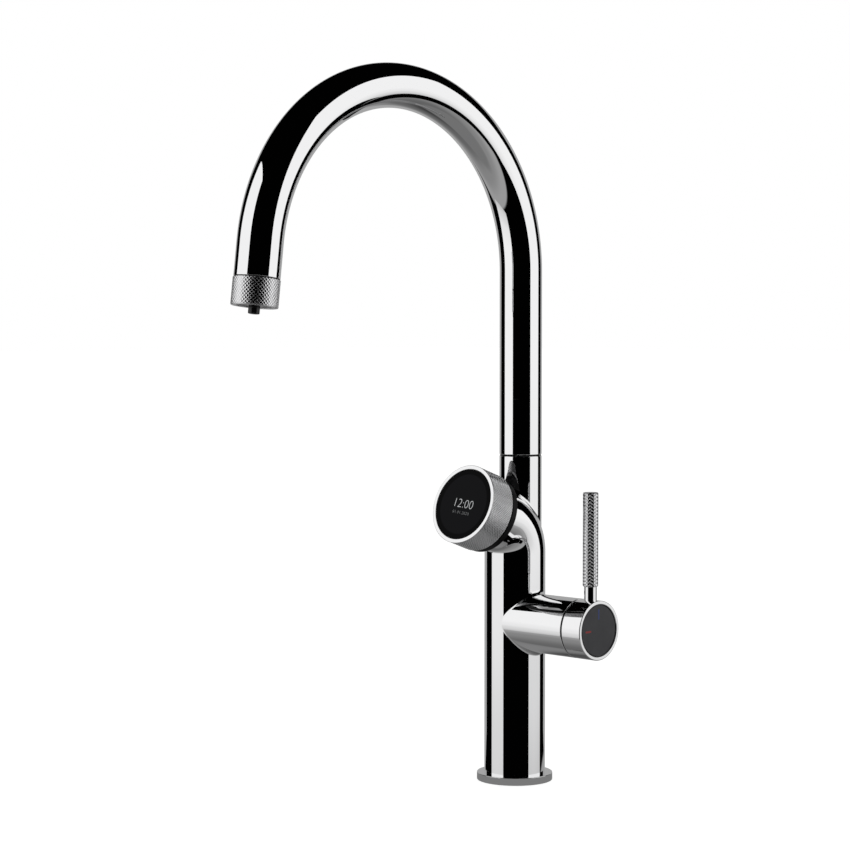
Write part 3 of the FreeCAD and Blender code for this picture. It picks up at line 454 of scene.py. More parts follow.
# A skin of rows of points, for polished forms whose reflections need true normals
class Skin:
    def __init__(self):
        self.points = []
        self.normals = []
        self.faces = []

    def row(self, spots):
        """Adds (point, normal) pairs and returns their numbers."""
        first = len(self.points)
        for point, normal in spots:
            self.points.append(Vector(point))
            self.normals.append(Vector(normal).normalized())
        return list(range(first, len(self.points)))

    def strip(self, lower, upper):
        """Fills between two closed rows of the same count."""
        for k in range(len(lower)):
            j = (k + 1) % len(lower)
            self.faces.append((lower[k], lower[j], upper[j], upper[k]))

    def rows(self, start, rows):
        """Carries a closed row on through more rows and returns the last one."""
        for spots in rows:
            new = self.row(spots)
            self.strip(start, new)
            start = new
        return start

    def cap(self, row):
        """Closes a row with one flat face."""
        self.faces.append(tuple(row))

    def capped_rows(self, start, rows):
        """Carries a closed row on through more rows and closes the last one."""
        self.cap(self.rows(start, rows))

    def piece(self, name):
        """Makes the skin a piece, without the points that no face uses."""
        used = sorted({k for face in self.faces for k in face})
        number = {k: i for i, k in enumerate(used)}
        faces = [tuple(number[k] for k in face) for face in self.faces]
        fresh_start()
        mesh = bpy.data.meshes.new(name)
        mesh.from_pydata([self.points[k] for k in used], [], faces)
        piece = bpy.data.objects.new(name, mesh)
        bpy.context.scene.collection.objects.link(piece)
        open_mesh(piece)
        bpy.ops.mesh.normals_make_consistent(inside=False)
        close_mesh()
        bpy.ops.object.shade_smooth()
        mesh.normals_split_custom_set_from_vertices([self.normals[k] for k in used])
        return piece


def window_loop(grid, row_span, column_span, columns):
    """Vertices round a window of a grid, each with its place in the window from -1 to 1."""
    (low, high), (left, right) = row_span, column_span
    loop = [(low, c) for c in range(left, right)] + [(r, right) for r in range(low, high)]
    loop += [(high, c) for c in range(right, left, -1)] + [(r, left) for r in range(high, low, -1)]
    spots = []
    for r, c in loop:
        up = 2 * (r - low) / (high - low) - 1
        across = 2 * (c - left) / (right - left) - 1
        spots.append((grid[r][c % columns], up, across))
    return spots


def loop_row(loop):
    """The vertices alone of a window's loop."""
    return [vertex for vertex, _, _ in loop]


def fill_grid(skin, grid, columns, windows):
    """Fills a grid that closes round, apart from its windows."""
    for r in range(len(grid) - 1):
        for c in range(columns):
            if any(low <= r < high and (c - left) % columns < right - left
                   for (low, high), (left, right) in windows):
                continue
            d = (c + 1) % columns
            skin.faces.append((grid[r][c], grid[r][d], grid[r + 1][d], grid[r + 1][c]))


def between(first, last, steps):
    """Evenly spaced values from first to last, both included."""
    return [first + (last - first) * k / steps for k in range(steps + 1)]


QUARTER_TURN = between(0, math.pi / 2, EDGE_STEPS)


def slerp(a, b, t):
    """Unit direction a share of the way round from a to b."""
    angle = a.angle(b)
    if angle < TINY:
        return a.copy()
    return (a * math.sin((1 - t) * angle) + b * math.sin(t * angle)) / math.sin(angle)


def on_bar(run, angle):
    """Point and normal of the casting's bar; angle 0 is the lever's side, a quarter the back."""
    centre, outward = elbow_frame(run)
    normal = X_WAY * math.cos(angle) + outward * math.sin(angle)
    return centre + normal * COLUMN_R, normal


def bar_run_of(point):
    """Run along the bar's middle, and outward distance from it, of a point beside the bend."""
    turn = math.atan2(point.z - BEND_Z, point.y + BEND_R)
    if turn <= BEND_TURN:
        reach = math.hypot(point.z - BEND_Z, point.y + BEND_R) - BEND_R
        return BEND_Z + BEND_R * turn, reach
    foot, outward = elbow_frame(BEND_Z + BEND_R * BEND_TURN)
    offset = point - foot
    return BEND_Z + BEND_R * BEND_TURN + offset.dot(DIAL_AXIS), offset.dot(outward)


def arm_ball(angle):
    """Ball that rolls in the arm's root: centre, and normals where it touches column and arm."""
    arm_normal = Vector((0, math.sin(angle), math.cos(angle)))
    side = (ARM_R + ARM_FILLET) * arm_normal.y
    out = math.sqrt((COLUMN_R + ARM_FILLET) ** 2 - side ** 2)
    centre = Vector((out, side, ARM_Z + (ARM_R + ARM_FILLET) * arm_normal.z))
    return centre, Vector((out, side, 0)).normalized(), arm_normal


def neck_ball(angle):
    """Ball that rolls in the neck's root: centre, and normals where it touches elbow and neck."""
    neck_normal = Vector((math.sin(angle), math.cos(angle), 0))
    centre = Vector((0, NECK_Y, 0)) + neck_normal * (NECK_R + NECK_FILLET)
    low, high = BEND_Z, NECK_TOP
    for _ in range(HALVINGS):
        centre.z = (low + high) / 2
        run, reach = bar_run_of(centre)
        if math.hypot(reach, centre.x) < COLUMN_R + NECK_FILLET:
            low = centre.z
        else:
            high = centre.z
    outward = elbow_frame(run)[1]
    return centre, (X_WAY * centre.x + outward * reach).normalized(), neck_normal


def rings_to_hole(window, hole):
    """Rows on the bar from the (run, angle) places of a window's edge to those of its hole."""
    rows = []
    for share in RING_SHARES:
        rest = 1 - share
        rows.append([on_bar(run * rest + hole_run * share, angle * rest + hole_angle * share)
                     for (run, angle), (hole_run, hole_angle) in zip(window, hole)])
    return rows


def fillet_rows(balls, radius):
    """Rows of a fillet from the first surface, which is left out, to the second."""
    rows = []
    for share in between(0, 1, FILLET_STEPS)[1:]:
        spots = []
        for centre, first, second in balls:
            normal = slerp(first, second, share)
            spots.append((centre - normal * radius, normal))
        rows.append(spots)
    return rows


def wall_rows(balls, foot, axis, radius, end):
    """Rows of a round wall from its fillet to an end, measured along its axis."""
    rows = []
    for share in between(0, 1, WALL_STEPS)[1:]:
        spots = []
        for centre, _, way in balls:
            start = centre.dot(axis)
            spots.append((foot + way * radius + axis * (start + (end - start) * share), way))
        rows.append(spots)
    return rows


def rounded_end(directions, axis, end, outer, bore, depth, edge=CRISP_EDGE):
    """Rows that round a tube's end into its bore; the wall stops one edge short of the end."""
    rows = []
    for turn in QUARTER_TURN[1:]:
        radius = outer - edge * (1 - math.cos(turn))
        rise = edge * (math.sin(turn) - 1)
        rows.append([(end + axis * rise + d * radius, d * math.cos(turn) + axis * math.sin(turn))
                     for d in directions])
    for turn in QUARTER_TURN:
        radius = bore + CRISP_EDGE * (1 - math.sin(turn))
        rise = CRISP_EDGE * (math.cos(turn) - 1)
        rows.append([(end + axis * rise + d * radius, axis * math.cos(turn) - d * math.sin(turn))
                     for d in directions])
    rows.append([(end - axis * depth + d * bore, -d) for d in directions])
    return rows


def screw_hole_rows(spots, centre, axis, across, surface, shares):
    """Rows from a window's edge down a round hole; surface gives a wall's point and normal."""
    up = axis.cross(across)
    ways = []
    for _, along, side in spots:
        aim = math.atan2(along, side)
        ways.append(across * math.cos(aim) + up * math.sin(aim))
    rim_r = SCREW_HOLE_R + CRISP_EDGE
    rows = []
    for share in shares:
        row = []
        for (start, _, _), way in zip(spots, ways):
            offset = start - centre
            flat = offset - axis * offset.dot(axis)
            row.append(surface(centre + flat.lerp(way * rim_r, share)))
        rows.append(row)
    for turn in QUARTER_TURN[1:]:
        radius = SCREW_HOLE_R + CRISP_EDGE * (1 - math.sin(turn))
        sink = CRISP_EDGE * (1 - math.cos(turn))
        row = []
        for way in ways:
            point, normal = surface(centre + way * rim_r)
            rise = (point - centre).dot(axis) - sink
            tilted = normal * math.cos(turn) - way * math.sin(turn)
            row.append((centre + way * radius + axis * rise, tilted))
        rows.append(row)
    rows.append([(centre + way * SCREW_HOLE_R - axis * SCREW_HOLE_DEPTH, -way) for way in ways])
    return rows


# Casting
def body_casting():
    """Column, elbow, valve arm and spout neck in one, with rolled fillets at the two roots."""
    skin = Skin()
    arm_half = 24.5 * MM
    arm_rows, arm_columns = 42, 21
    neck_start, neck_end = BEND_Z + 2.6 * MM, BAR_END - 7.0 * MM
    neck_rows, neck_columns = 30, (9, 39)
    marks = (FLANGE_T, ARM_Z - arm_half, ARM_Z + arm_half, BEND_Z, neck_start, neck_end, BAR_END)
    counts = (4, arm_rows, 2, 2, neck_rows, 3)
    runs = [FLANGE_T]
    for first, last, count in zip(marks, marks[1:], counts):
        runs += between(first, last, count)[1:]
    arm_first, neck_first = counts[0], sum(counts[:4])
    arm_window = ((arm_first, arm_first + arm_rows), (-arm_columns, arm_columns))
    neck_window = ((neck_first, neck_first + neck_rows), neck_columns)
    grid = [skin.row(on_bar(run, c * SIDE_ANGLE) for c in range(ROUND)) for run in runs]
    fill_grid(skin, grid, ROUND, [arm_window, neck_window])
    skin.cap(grid[0])
    skin.cap(grid[-1])
    add_arm(skin, window_loop(grid, *arm_window, ROUND), arm_half, arm_columns * SIDE_ANGLE)
    neck_middle = (neck_start + neck_end) / 2
    neck_half = (neck_end - neck_start) / 2
    turn_half = (neck_columns[1] - neck_columns[0]) / 2 * SIDE_ANGLE
    add_neck(skin, window_loop(grid, *neck_window, ROUND), neck_middle, neck_half, turn_half)
    return skin.piece("tap_body_casting")


def add_arm(skin, loop, half_height, half_turn):
    """Carries a window of the column on into the valve arm and its bore."""
    balls = [arm_ball(math.atan2(across * half_turn / ARM_HOLE_TURN, up))
             for _, up, across in loop]
    window = [(ARM_Z + up * half_height, across * half_turn) for _, up, across in loop]
    hole = [(centre.z, math.atan2(normal.y, normal.x)) for centre, normal, _ in balls]
    rows = rings_to_hole(window, hole) + fillet_rows(balls, ARM_FILLET)
    rows += wall_rows(balls, Vector((0, 0, ARM_Z)), X_WAY, ARM_R, ARM_END - CRISP_EDGE)
    directions = [way for _, _, way in balls]
    end = Vector((ARM_END, 0, ARM_Z))
    rows += rounded_end(directions, X_WAY, end, ARM_R, ARM_BORE, BORE_DEPTH)
    skin.capped_rows(loop_row(loop), rows)


def add_neck(skin, loop, middle, half_run, half_turn):
    """Carries a window of the elbow on into the neck, with its stop-screw hole and its bore."""
    balls = [neck_ball(math.atan2(-across, -up)) for _, up, across in loop]
    window = [(middle + up * half_run, math.pi / 2 + across * half_turn) for _, up, across in loop]
    hole = []
    for centre, _, _ in balls:
        hole_run, reach = bar_run_of(centre)
        hole.append((hole_run, math.atan2(reach, centre.x)))
    foot = Vector((0, NECK_Y, 0))
    hole_half = 4.4 * MM
    hole_rows, hole_columns = 10, 5
    rows = rings_to_hole(window, hole) + fillet_rows(balls, NECK_FILLET)
    rows += wall_rows(balls, foot, Z_WAY, NECK_R, STOP_Z - hole_half)
    grid = [skin.rows(loop_row(loop), rows)]
    directions = [way for _, _, way in balls]
    columns = len(directions)
    levels = between(STOP_Z - hole_half, STOP_Z + hole_half, hole_rows)[1:]
    for level in levels + [NECK_TOP - CRISP_EDGE]:
        grid.append(skin.row((foot + way * NECK_R + Z_WAY * level, way) for way in directions))
    back = max(range(columns), key=lambda k: directions[k].y)
    span = ((0, hole_rows), (back - hole_columns, back + hole_columns))
    fill_grid(skin, grid, columns, [span])
    edge = window_loop(grid, *span, columns)
    side = -1 if directions[(back + 1) % columns].x < 0 else 1
    spots = [(skin.points[vertex], up, across * side) for vertex, up, across in edge]
    screw = Vector((0, NECK_Y + NECK_R, STOP_Z))
    rows = screw_hole_rows(spots, screw, Y_WAY, X_WAY, neck_back, NECK_HOLE_SHARES)
    skin.capped_rows(loop_row(edge), rows)
    end = Vector((0, NECK_Y, NECK_TOP))
    skin.capped_rows(grid[-1], rounded_end(directions, Z_WAY, end, NECK_R, NECK_BORE, BORE_DEPTH))


def neck_back(point):
    """Point of the neck's wall, and its normal, behind a point."""
    deep = math.sqrt(NECK_R ** 2 - point.x ** 2)
    return Vector((point.x, NECK_Y + deep, point.z)), Vector((point.x, deep, 0)).normalized()


def base_flange():
    """Thin flange with the seal's groove underneath."""
    inner = BLOCK_R + FLANGE_GAP
    seal_bore = SEAL_R - SEAL_W
    outline = [(inner, 0), (seal_bore, 0), (seal_bore, SEAL_T), (SEAL_R, SEAL_T), (SEAL_R, 0),
               (FLANGE_R, 0), (FLANGE_R, FLANGE_T), (inner, FLANGE_T)]
    return turned("base_flange_ring", outline, ON_DECK, FLANGE_EDGE, FINE_ROUND)


# Spout
def spout_tube():
    """A ring drawn up, spun over the arch and drawn down to the outlet, with a wall."""
    fresh_start()
    bpy.ops.mesh.primitive_circle_add(vertices=ROUND, radius=TUBE_R,
                                      location=(0, NECK_Y, TUBE_FOOT))
    piece = named("spout_arch_tube")
    bpy.ops.object.transform_apply(location=True)
    open_mesh(piece)
    for _ in range(RISE_STEPS):
        draw_out((0, 0, (ARCH_Z - TUBE_FOOT) / RISE_STEPS))
    bpy.ops.mesh.spin(steps=ARCH_STEPS, angle=-ARCH_TURN, center=ARCH_CENTRE, axis=X_WAY)
    for _ in range(OUTLET_STEPS):
        draw_out(FLOW * OUTLET_RUN / OUTLET_STEPS)
    close_seams(piece)
    apply_modifier(piece, "SOLIDIFY", thickness=TUBE_WALL, offset=-1)
    soften(piece, CRISP_EDGE)
    return piece


def swivel_glide_ring():
    radii = (NECK_GLIDE_R - SEAM_RING_W, NECK_GLIDE_R)
    return ring("swivel_seam_ring", ON_NECK, radii, (NECK_TOP, NECK_GLIDE_TOP), SEAM_RING_EDGE)


def aerator_collar():
    """Knurled collar with a shadow groove under the tube and a plain rounded mouth."""
    length = COLLAR_LEN - COLLAR_SEAM - LIP_H - COLLAR_EDGE
    piece = knurled_tube("outlet_collar", COLLAR_R, length, **COLLAR_KNURL)
    top = -COLLAR_EDGE - COLLAR_SEAM + COLLAR_GAP
    finish_rim(piece, 0, [(COLLAR_R - COLLAR_EDGE_W, -COLLAR_EDGE / 2),
                          (COLLAR_SEAM_R + COLLAR_EDGE_W, -COLLAR_EDGE),
                          (COLLAR_SEAM_R, -COLLAR_EDGE), (COLLAR_SEAM_R, top), (COLLAR_BORE, top)])
    end = length + LIP_H
    finish_rim(piece, length, [(LIP_R, length + KNURL_STEP), (LIP_R, end - LIP_EDGE),
                               (LIP_R - LIP_SHOULDER, end - LIP_SHOULDER), (LIP_R - LIP_EDGE, end),
                               (MOUTH_R + MOUTH_EDGE, end), (MOUTH_R, end - MOUTH_EDGE),
                               (MOUTH_R, end - LIP_T), (COLLAR_BORE, end - LIP_T)])
    join_rims(piece)
    where = ON_OUTLET @ Matrix.Translation((0, 0, COLLAR_SEAM + COLLAR_EDGE))
    return settle(piece, COLLAR_CREASE, where)


def collar_seam_shade_ring():
    """Black ring in the groove between the tube and the collar: painted shade, put where the seam
    holds only shadow.
    """
    radii = (COLLAR_SEAM_R - COLLAR_RING_SINK, TUBE_R - COLLAR_RING_SINK)
    span = (COLLAR_RING_START, COLLAR_SEAM - COLLAR_GAP)
    return ring("collar_seam_shade_ring", ON_OUTLET, radii, span, COLLAR_RING_EDGE)


def filter_nozzle():
    radii = (NOZZLE_BORE, NOZZLE_R)
    span = (COLLAR_LEN - NOZZLE_IN, COLLAR_LEN + NOZZLE_OUT)
    return ring("filter_spout_nozzle", ON_OUTLET, radii, span, NOZZLE_EDGE, COARSE_ROUND)


# Lever
def handle_glide_ring():
    radii = (ARM_GLIDE_R - SEAM_RING_W, ARM_GLIDE_R)
    return ring("lever_seam_ring", ON_ARM, radii, (ARM_END, ARM_GLIDE_FRONT), SEAM_RING_EDGE)


def handle_sleeve():
    """Short round handle with a sunk front and a set-screw hole underneath."""
    skin = Skin()
    angles = [c * SIDE_ANGLE for c in range(ROUND)]
    directions = [Vector((0, math.sin(angle), -math.cos(angle))) for angle in angles]
    middle = Vector((0, 0, ARM_Z))
    half = 3.4 * MM
    hole_rows, hole_columns = 6, 3
    levels = [SLEEVE_BACK + CRISP_EDGE] + between(GRUB_X - half, GRUB_X + half, hole_rows)
    levels += [SLEEVE_MIDDLE, SLEEVE_FRONT - RIM_EDGE]
    grid = [skin.row((middle + d * ARM_R + X_WAY * level, d) for d in directions)
            for level in levels]
    span = ((1, 1 + hole_rows), (-hole_columns, hole_columns))
    fill_grid(skin, grid, ROUND, [span])
    edge = window_loop(grid, *span, ROUND)
    spots = [(skin.points[vertex], across, up) for vertex, up, across in edge]
    screw = Vector((GRUB_X, 0, ARM_Z - ARM_R))
    rows = screw_hole_rows(spots, screw, -Z_WAY, X_WAY, sleeve_underside, SLEEVE_HOLE_SHARES)
    skin.capped_rows(loop_row(edge), rows)
    back = Vector((SLEEVE_BACK, 0, ARM_Z))
    rows = rounded_end(directions, -X_WAY, back, ARM_R, SLEEVE_BORE, SLEEVE_BORE_DEPTH)
    skin.capped_rows(grid[0], rows)
    front = Vector((SLEEVE_FRONT, 0, ARM_Z))
    sunk = SLEEVE_FRONT - DISC_BACK
    rows = rounded_end(directions, X_WAY, front, ARM_R, ARM_R - RIM_W, sunk, RIM_EDGE)
    skin.capped_rows(grid[-1], rows)
    return skin.piece("lever_handle_sleeve")


def sleeve_underside(point):
    """Point of the handle's wall, and its normal, below a point."""
    deep = math.sqrt(ARM_R ** 2 - point.y ** 2)
    return Vector((point.x, point.y, ARM_Z - deep)), Vector((0, point.y, -deep)).normalized()


def indicator_disc():
    """Charcoal disc with a lowered edge, which keeps a dark line round it."""
    face_r = DISC_R - DISC_GROOVE_W
    lowered = DISC_FRONT - DISC_GROOVE_T
    outline = [(DISC_R, DISC_BACK), (DISC_R, lowered), (face_r, lowered), (face_r, DISC_FRONT)]
    return turned("lever_indicator_disc", outline, ON_ARM, DISC_EDGE, DISC_ROUND, solid=True)


def tick(name, centre_r, length, angle):
    """A short raised bar along a radius of the indicator disc; the angle is from +Y towards +Z."""
    fresh_start()
    bpy.ops.mesh.primitive_cube_add(size=1)
    piece = named(name)
    piece.scale = (length, TICK_W, TICK_H)
    bpy.ops.object.transform_apply(scale=True)
    soften(piece, TICK_EDGE, steps=2)
    turn = Matrix.Rotation(angle, 4, "Z")
    set_in_place(piece, ON_ARM @ turn @ Matrix.Translation((centre_r, 0, DISC_FRONT)))
    return piece


def lever_stem():
    return rod("lever_stem_neck", ON_LEVER, STEM_R, (STEM_FOOT, GRIP_FOOT), STEM_EDGE)


def lever_grip():
    """Knurled stick with a chamfer and a flat face at either end."""
    length = GRIP_TOP - GRIP_FOOT - 2 * GRIP_EDGE
    piece = knurled_tube("lever_stick_grip", GRIP_R, length, **GRIP_KNURL)
    for level, way in ((0, -1), (length, 1)):
        steps = [(GRIP_R - inset, level + way * inset) for inset in (KNURL_STEP, GRIP_EDGE)]
        finish_rim(piece, level, steps, close=True)
    where = Matrix.Translation((LEVER_X, 0, GRIP_FOOT + GRIP_EDGE))
    return settle(piece, KNURL_CREASE, where)


# Dial
def dial_base():
    radii = (DIAL_BASE_BORE, DIAL_BASE_R)
    return ring("dial_black_base", ON_DIAL, radii, (0, DIAL_BASE_T), DIAL_BASE_EDGE, FINE_ROUND)


def dial_sleeve():
    """Knurled turning sleeve, chamfered towards the base and flush with the bezel."""
    length = DIAL_END - DIAL_START - DIAL_EDGE
    piece = knurled_tube("dial_turning_sleeve", DIAL_R, length, **DIAL_KNURL)
    inner = DIAL_R - DIAL_WALL
    finish_rim(piece, 0, [(DIAL_R - DIAL_EDGE, -DIAL_EDGE), (inner, -DIAL_EDGE)])
    finish_rim(piece, length, [(DIAL_R - KNURL_STEP, length), (inner, length)])
    join_rims(piece)
    where = ON_DIAL @ Matrix.Translation((0, 0, DIAL_START + DIAL_EDGE))
    return settle(piece, KNURL_CREASE, where)


def dial_bezel():
    radii = (DIAL_R - BEZEL_W, DIAL_R)
    return ring("dial_front_bezel", ON_DIAL, radii, (DIAL_END, BEZEL_END), BEZEL_EDGE, FINE_ROUND)


def display_glass():
    span = (GLASS_FRONT - GLASS_T, GLASS_FRONT)
    return rod("display_cover_glass", ON_DIAL, GLASS_R, span, GLASS_EDGE, FINE_ROUND)


def display_text(name, words, height, down, spacing):
    """A line of plain numbers lit on the display."""
    fresh_start()
    bpy.ops.object.text_add()
    line = named(name).data
    line.body = words
    line.size = height
    line.offset = -DIGIT_THINNING * height
    line.space_character = spacing
    line.extrude = DIGIT_T
    line.align_x = "CENTER"
    line.align_y = "CENTER"
    line.resolution_u = 6
    bpy.ops.object.convert(target="MESH")
    piece = bpy.context.object
    close_seams(piece, DIGIT_WELD)
    turn = Matrix.Rotation(DISPLAY_TURN, 4, "Z")
    set_in_place(piece, ON_DIAL @ turn @ Matrix.Translation((0, -down, GLASS_FRONT + DIGIT_T)))
    return piece


# Nodes that materials share
def feed(tree, node, inputs):
    """Gives a node's inputs links from other sockets, or plain values."""
    for key, value in inputs.items():
        if isinstance(value, bpy.types.NodeSocket):
            tree.links.new(value, node.inputs[key])
        else:
            node.inputs[key].default_value = value


def add_node(tree, kind, inputs, **settings):
    """Adds a shader node with its settings and inputs, and returns its outputs."""
    node = tree.nodes.new("ShaderNode" + kind)
    for name, value in settings.items():
        setattr(node, name, value)
    feed(tree, node, inputs)
    return node.outputs


def math_of(tree, operation, first, second):
    return add_node(tree, "Math", {0: first, 1: second}, operation=operation)[0]


def spread(tree, value, ends, **settings):
    """Carries a value over from one span to another."""
    return add_node(tree, "MapRange", {"Value": value, **ends}, **settings)["Result"]


def colour_mix(tree, factor, first, second):
    inputs = {"Factor": factor, "A": first, "B": second}
    return add_node(tree, "Mix", inputs, data_type="RGBA")["Result"]


def object_spot(tree):
    return add_node(tree, "TexCoord", {})["Object"]


def reach_from_axis(tree, spot):
    """Distance of a spot from Z."""
    flat = add_node(tree, "VectorMath", {0: spot, 1: (1, 1, 0)}, operation="MULTIPLY")
    return add_node(tree, "VectorMath", {0: flat["Vector"]}, operation="LENGTH")["Value"]


def soft_disc(tree, spot, radius, core):
    """1 within a core round Z, fading to 0 at a radius."""
    ends = {"From Min": radius, "From Max": core}
    return spread(tree, reach_from_axis(tree, spot), ends, interpolation_type="SMOOTHSTEP")


def patches(tree, scale, detail, low=0, high=1):
    """Soft patches over a surface, from a low to a high value."""
    inputs = {"Vector": object_spot(tree), "Scale": scale, "Detail": detail}
    ends = {"From Min": 0.3, "From Max": 0.7, "To Min": low, "To Max": high}
    return spread(tree, add_node(tree, "TexNoise", inputs)["Fac"], ends)


# Effects that materials share: each gets a tree and the group's inputs, and returns what goes out
def wiped_haze(tree, given):
    """Roughness that drifts a little over a surface, as on metal that is wiped now and then."""
    return patches(tree, given["Scale"], 4, given["Clean"], given["Hazy"])


def colour_drift(tree, given):
    """Colour that wanders between two shades of one moulded, cast or fired material."""
    return colour_mix(tree, patches(tree, given["Scale"], 6), given["Dark"], given["Light"])


def fine_grain(tree, given):
    """Height of a fine grain; a stretch below 1 draws it out into turning marks round Z."""
    stretch = {"X": given["Stretch"], "Y": given["Stretch"], "Z": 1}
    across = add_node(tree, "CombineXYZ", stretch)["Vector"]
    drawn = add_node(tree, "VectorMath", {0: object_spot(tree), 1: across}, operation="MULTIPLY")
    inputs = {"Vector": drawn["Vector"], "Scale": given["Scale"], "Detail": 3}
    return add_node(tree, "TexNoise", inputs)["Fac"]


def knurl_polish(tree, given):
    """Roughness of a knurl: hands polish the raised diamonds and the grooves stay dull."""
    ends = {"From Min": "Root", "From Max": "Top", "To Min": "Dull", "To Max": "Polished"}
    ends = {end: given[name] for end, name in ends.items()}
    return spread(tree, reach_from_axis(tree, given["Vector"]), ends)


def effect_group(make, output, kind, **inputs):
    """A shader group of one effect, with its sockets and their kinds."""
    group = bpy.data.node_groups.new(make.__name__, "ShaderNodeTree")
    for name, socket in inputs.items():
        group.interface.new_socket(name, in_out="INPUT", socket_type="NodeSocket" + socket)
    group.interface.new_socket(output, in_out="OUTPUT", socket_type="NodeSocket" + kind)
    given = group.nodes.new("NodeGroupInput").outputs
    feed(group, group.nodes.new("NodeGroupOutput"), {output: make(group, given)})
    return group


HAZE = effect_group(wiped_haze, "Roughness", "Float", Clean="Float", Hazy="Float", Scale="Float")
DRIFT = effect_group(colour_drift, "Color", "Color", Dark="Color", Light="Color", Scale="Float")
GRAIN = effect_group(fine_grain, "Height", "Float", Scale="Float", Stretch="Float")
KNURL = effect_group(knurl_polish, "Roughness", "Float", Vector="Vector", Root="Float",
                     Top="Float", Dull="Float", Polished="Float")


def effect(material, group, **inputs):
    """What a shared group gives with a material's own values."""
    return add_node(material.node_tree, "Group", inputs, node_tree=group)[0]


def finish(material, inputs):
    """Gives a material's surface links from sockets, or plain values."""
    feed(material.node_tree, material.node_tree.nodes["Principled BSDF"], inputs)


def hazy(material, clean, dull, scale):
    finish(material, {"Roughness": effect(material, HAZE, Clean=clean, Hazy=dull, Scale=scale)})


def drifting(material, colour, drift, scale):
    """Lets the colour wander by a share of itself, darker and lighter."""
    dark, light = ((*(value * share for value in colour), 1) for share in (1 - drift, 1 + drift))
    finish(material, {"Base Color": effect(material, DRIFT, Dark=dark, Light=light, Scale=scale)})


def grained(material, scale, depth, stretch=1.0):
    """Gives the surface a grain of a real depth."""
    height = effect(material, GRAIN, Scale=scale, Stretch=stretch)
    bump = add_node(material.node_tree, "Bump", {"Distance": depth, "Height": height})
    finish(material, {"Normal": bump["Normal"]})


# Materials
CHROME_COLOUR = (0.90, 0.90, 0.905)
KNURLED_COLOUR = (0.82, 0.82, 0.83)
DIGIT_COLOUR = (0.01, 0.01, 0.01)
DIGIT_GLOW = (0.97, 0.99, 1, 1)
GLASS_COLOUR = (0.002, 0.002, 0.0023)
SCREEN_DARK = (0, 0, 0, 1)
SCREEN_GLOW = (0.0038, 0.0038, 0.0043, 1)
KNURL_DULL_SHARE = 0.3
KNURL_POLISHED_SHARE = 0.8
KNURL_HAZE = 0.1


def new_material(name, colour, metallic, roughness):
    material = bpy.data.materials.new(name)
    material.use_nodes = True
    finish(material, {"Base Color": (*colour, 1), "Metallic": metallic, "Roughness": roughness})
    return material


def machined_metal(name, colour, clean, dull):
    """Bare metal off the lathe: turning marks, and a tarnish that comes and goes."""
    material = new_material(name, colour, metallic=1, roughness=clean)
    hazy(material, clean, dull, scale=120)
    drifting(material, colour, drift=0.12, scale=70)
    grained(material, scale=2600, depth=0.008 * MM, stretch=0.02)
    return material


def moulded(name, colour, clean, dull, drift=0.1, grain=1500, depth=0.01 * MM):
    """Moulded, pressed or fired material with a fine skin."""
    material = new_material(name, colour, metallic=0, roughness=clean)
    hazy(material, clean, dull, scale=150)
    drifting(material, colour, drift, scale=90)
    grained(material, grain, depth)
    return material


def on_axis(tree, where):
    """Object coordinates as they lie about a piece's own axis."""
    inputs = {"Vector": object_spot(tree), "Location": where.to_translation(),
              "Rotation": where.to_euler()}
    return add_node(tree, "Mapping", inputs, vector_type="TEXTURE")["Vector"]


def knurled_metal(name, where, radius, knurl, polished, dull):
    """Chrome on a knurl of a radius, bright on its diamonds and dull in its grooves."""
    material = new_material(name, KNURLED_COLOUR, metallic=1, roughness=polished)
    depth = knurl["depth"]
    root = radius - depth
    grooves = effect(material, HAZE, Clean=dull, Hazy=dull + KNURL_HAZE, Scale=150)
    wear = effect(material, KNURL, Vector=on_axis(material.node_tree, where),
                  Root=root + KNURL_DULL_SHARE * depth, Top=root + KNURL_POLISHED_SHARE * depth,
                  Dull=grooves, Polished=polished)
    finish(material, {"Roughness": wear})
    return material


def lit_digits(name, glow):
    material = new_material(name, DIGIT_COLOUR, metallic=0, roughness=0.4)
    hazy(material, clean=0.35, dull=0.45, scale=300)
    finish(material, {"Emission Color": DIGIT_GLOW, "Emission Strength": glow})
    return material


def cover_glass():
    """Black cover glass, coated against glare, with the faint glow of a round screen behind it."""
    material = new_material("cover_glass", GLASS_COLOUR, metallic=0, roughness=0.03)
    hazy(material, clean=0.02, dull=0.05, scale=40)
    tree = material.node_tree
    screen = soft_disc(tree, on_axis(tree, ON_DIAL), SCREEN_R, SCREEN_R - SCREEN_FADE)
    glow = colour_mix(tree, screen, SCREEN_DARK, SCREEN_GLOW)
    finish(material, {"Specular IOR Level": 0.03, "Emission Color": glow, "Emission Strength": 1})
    return material


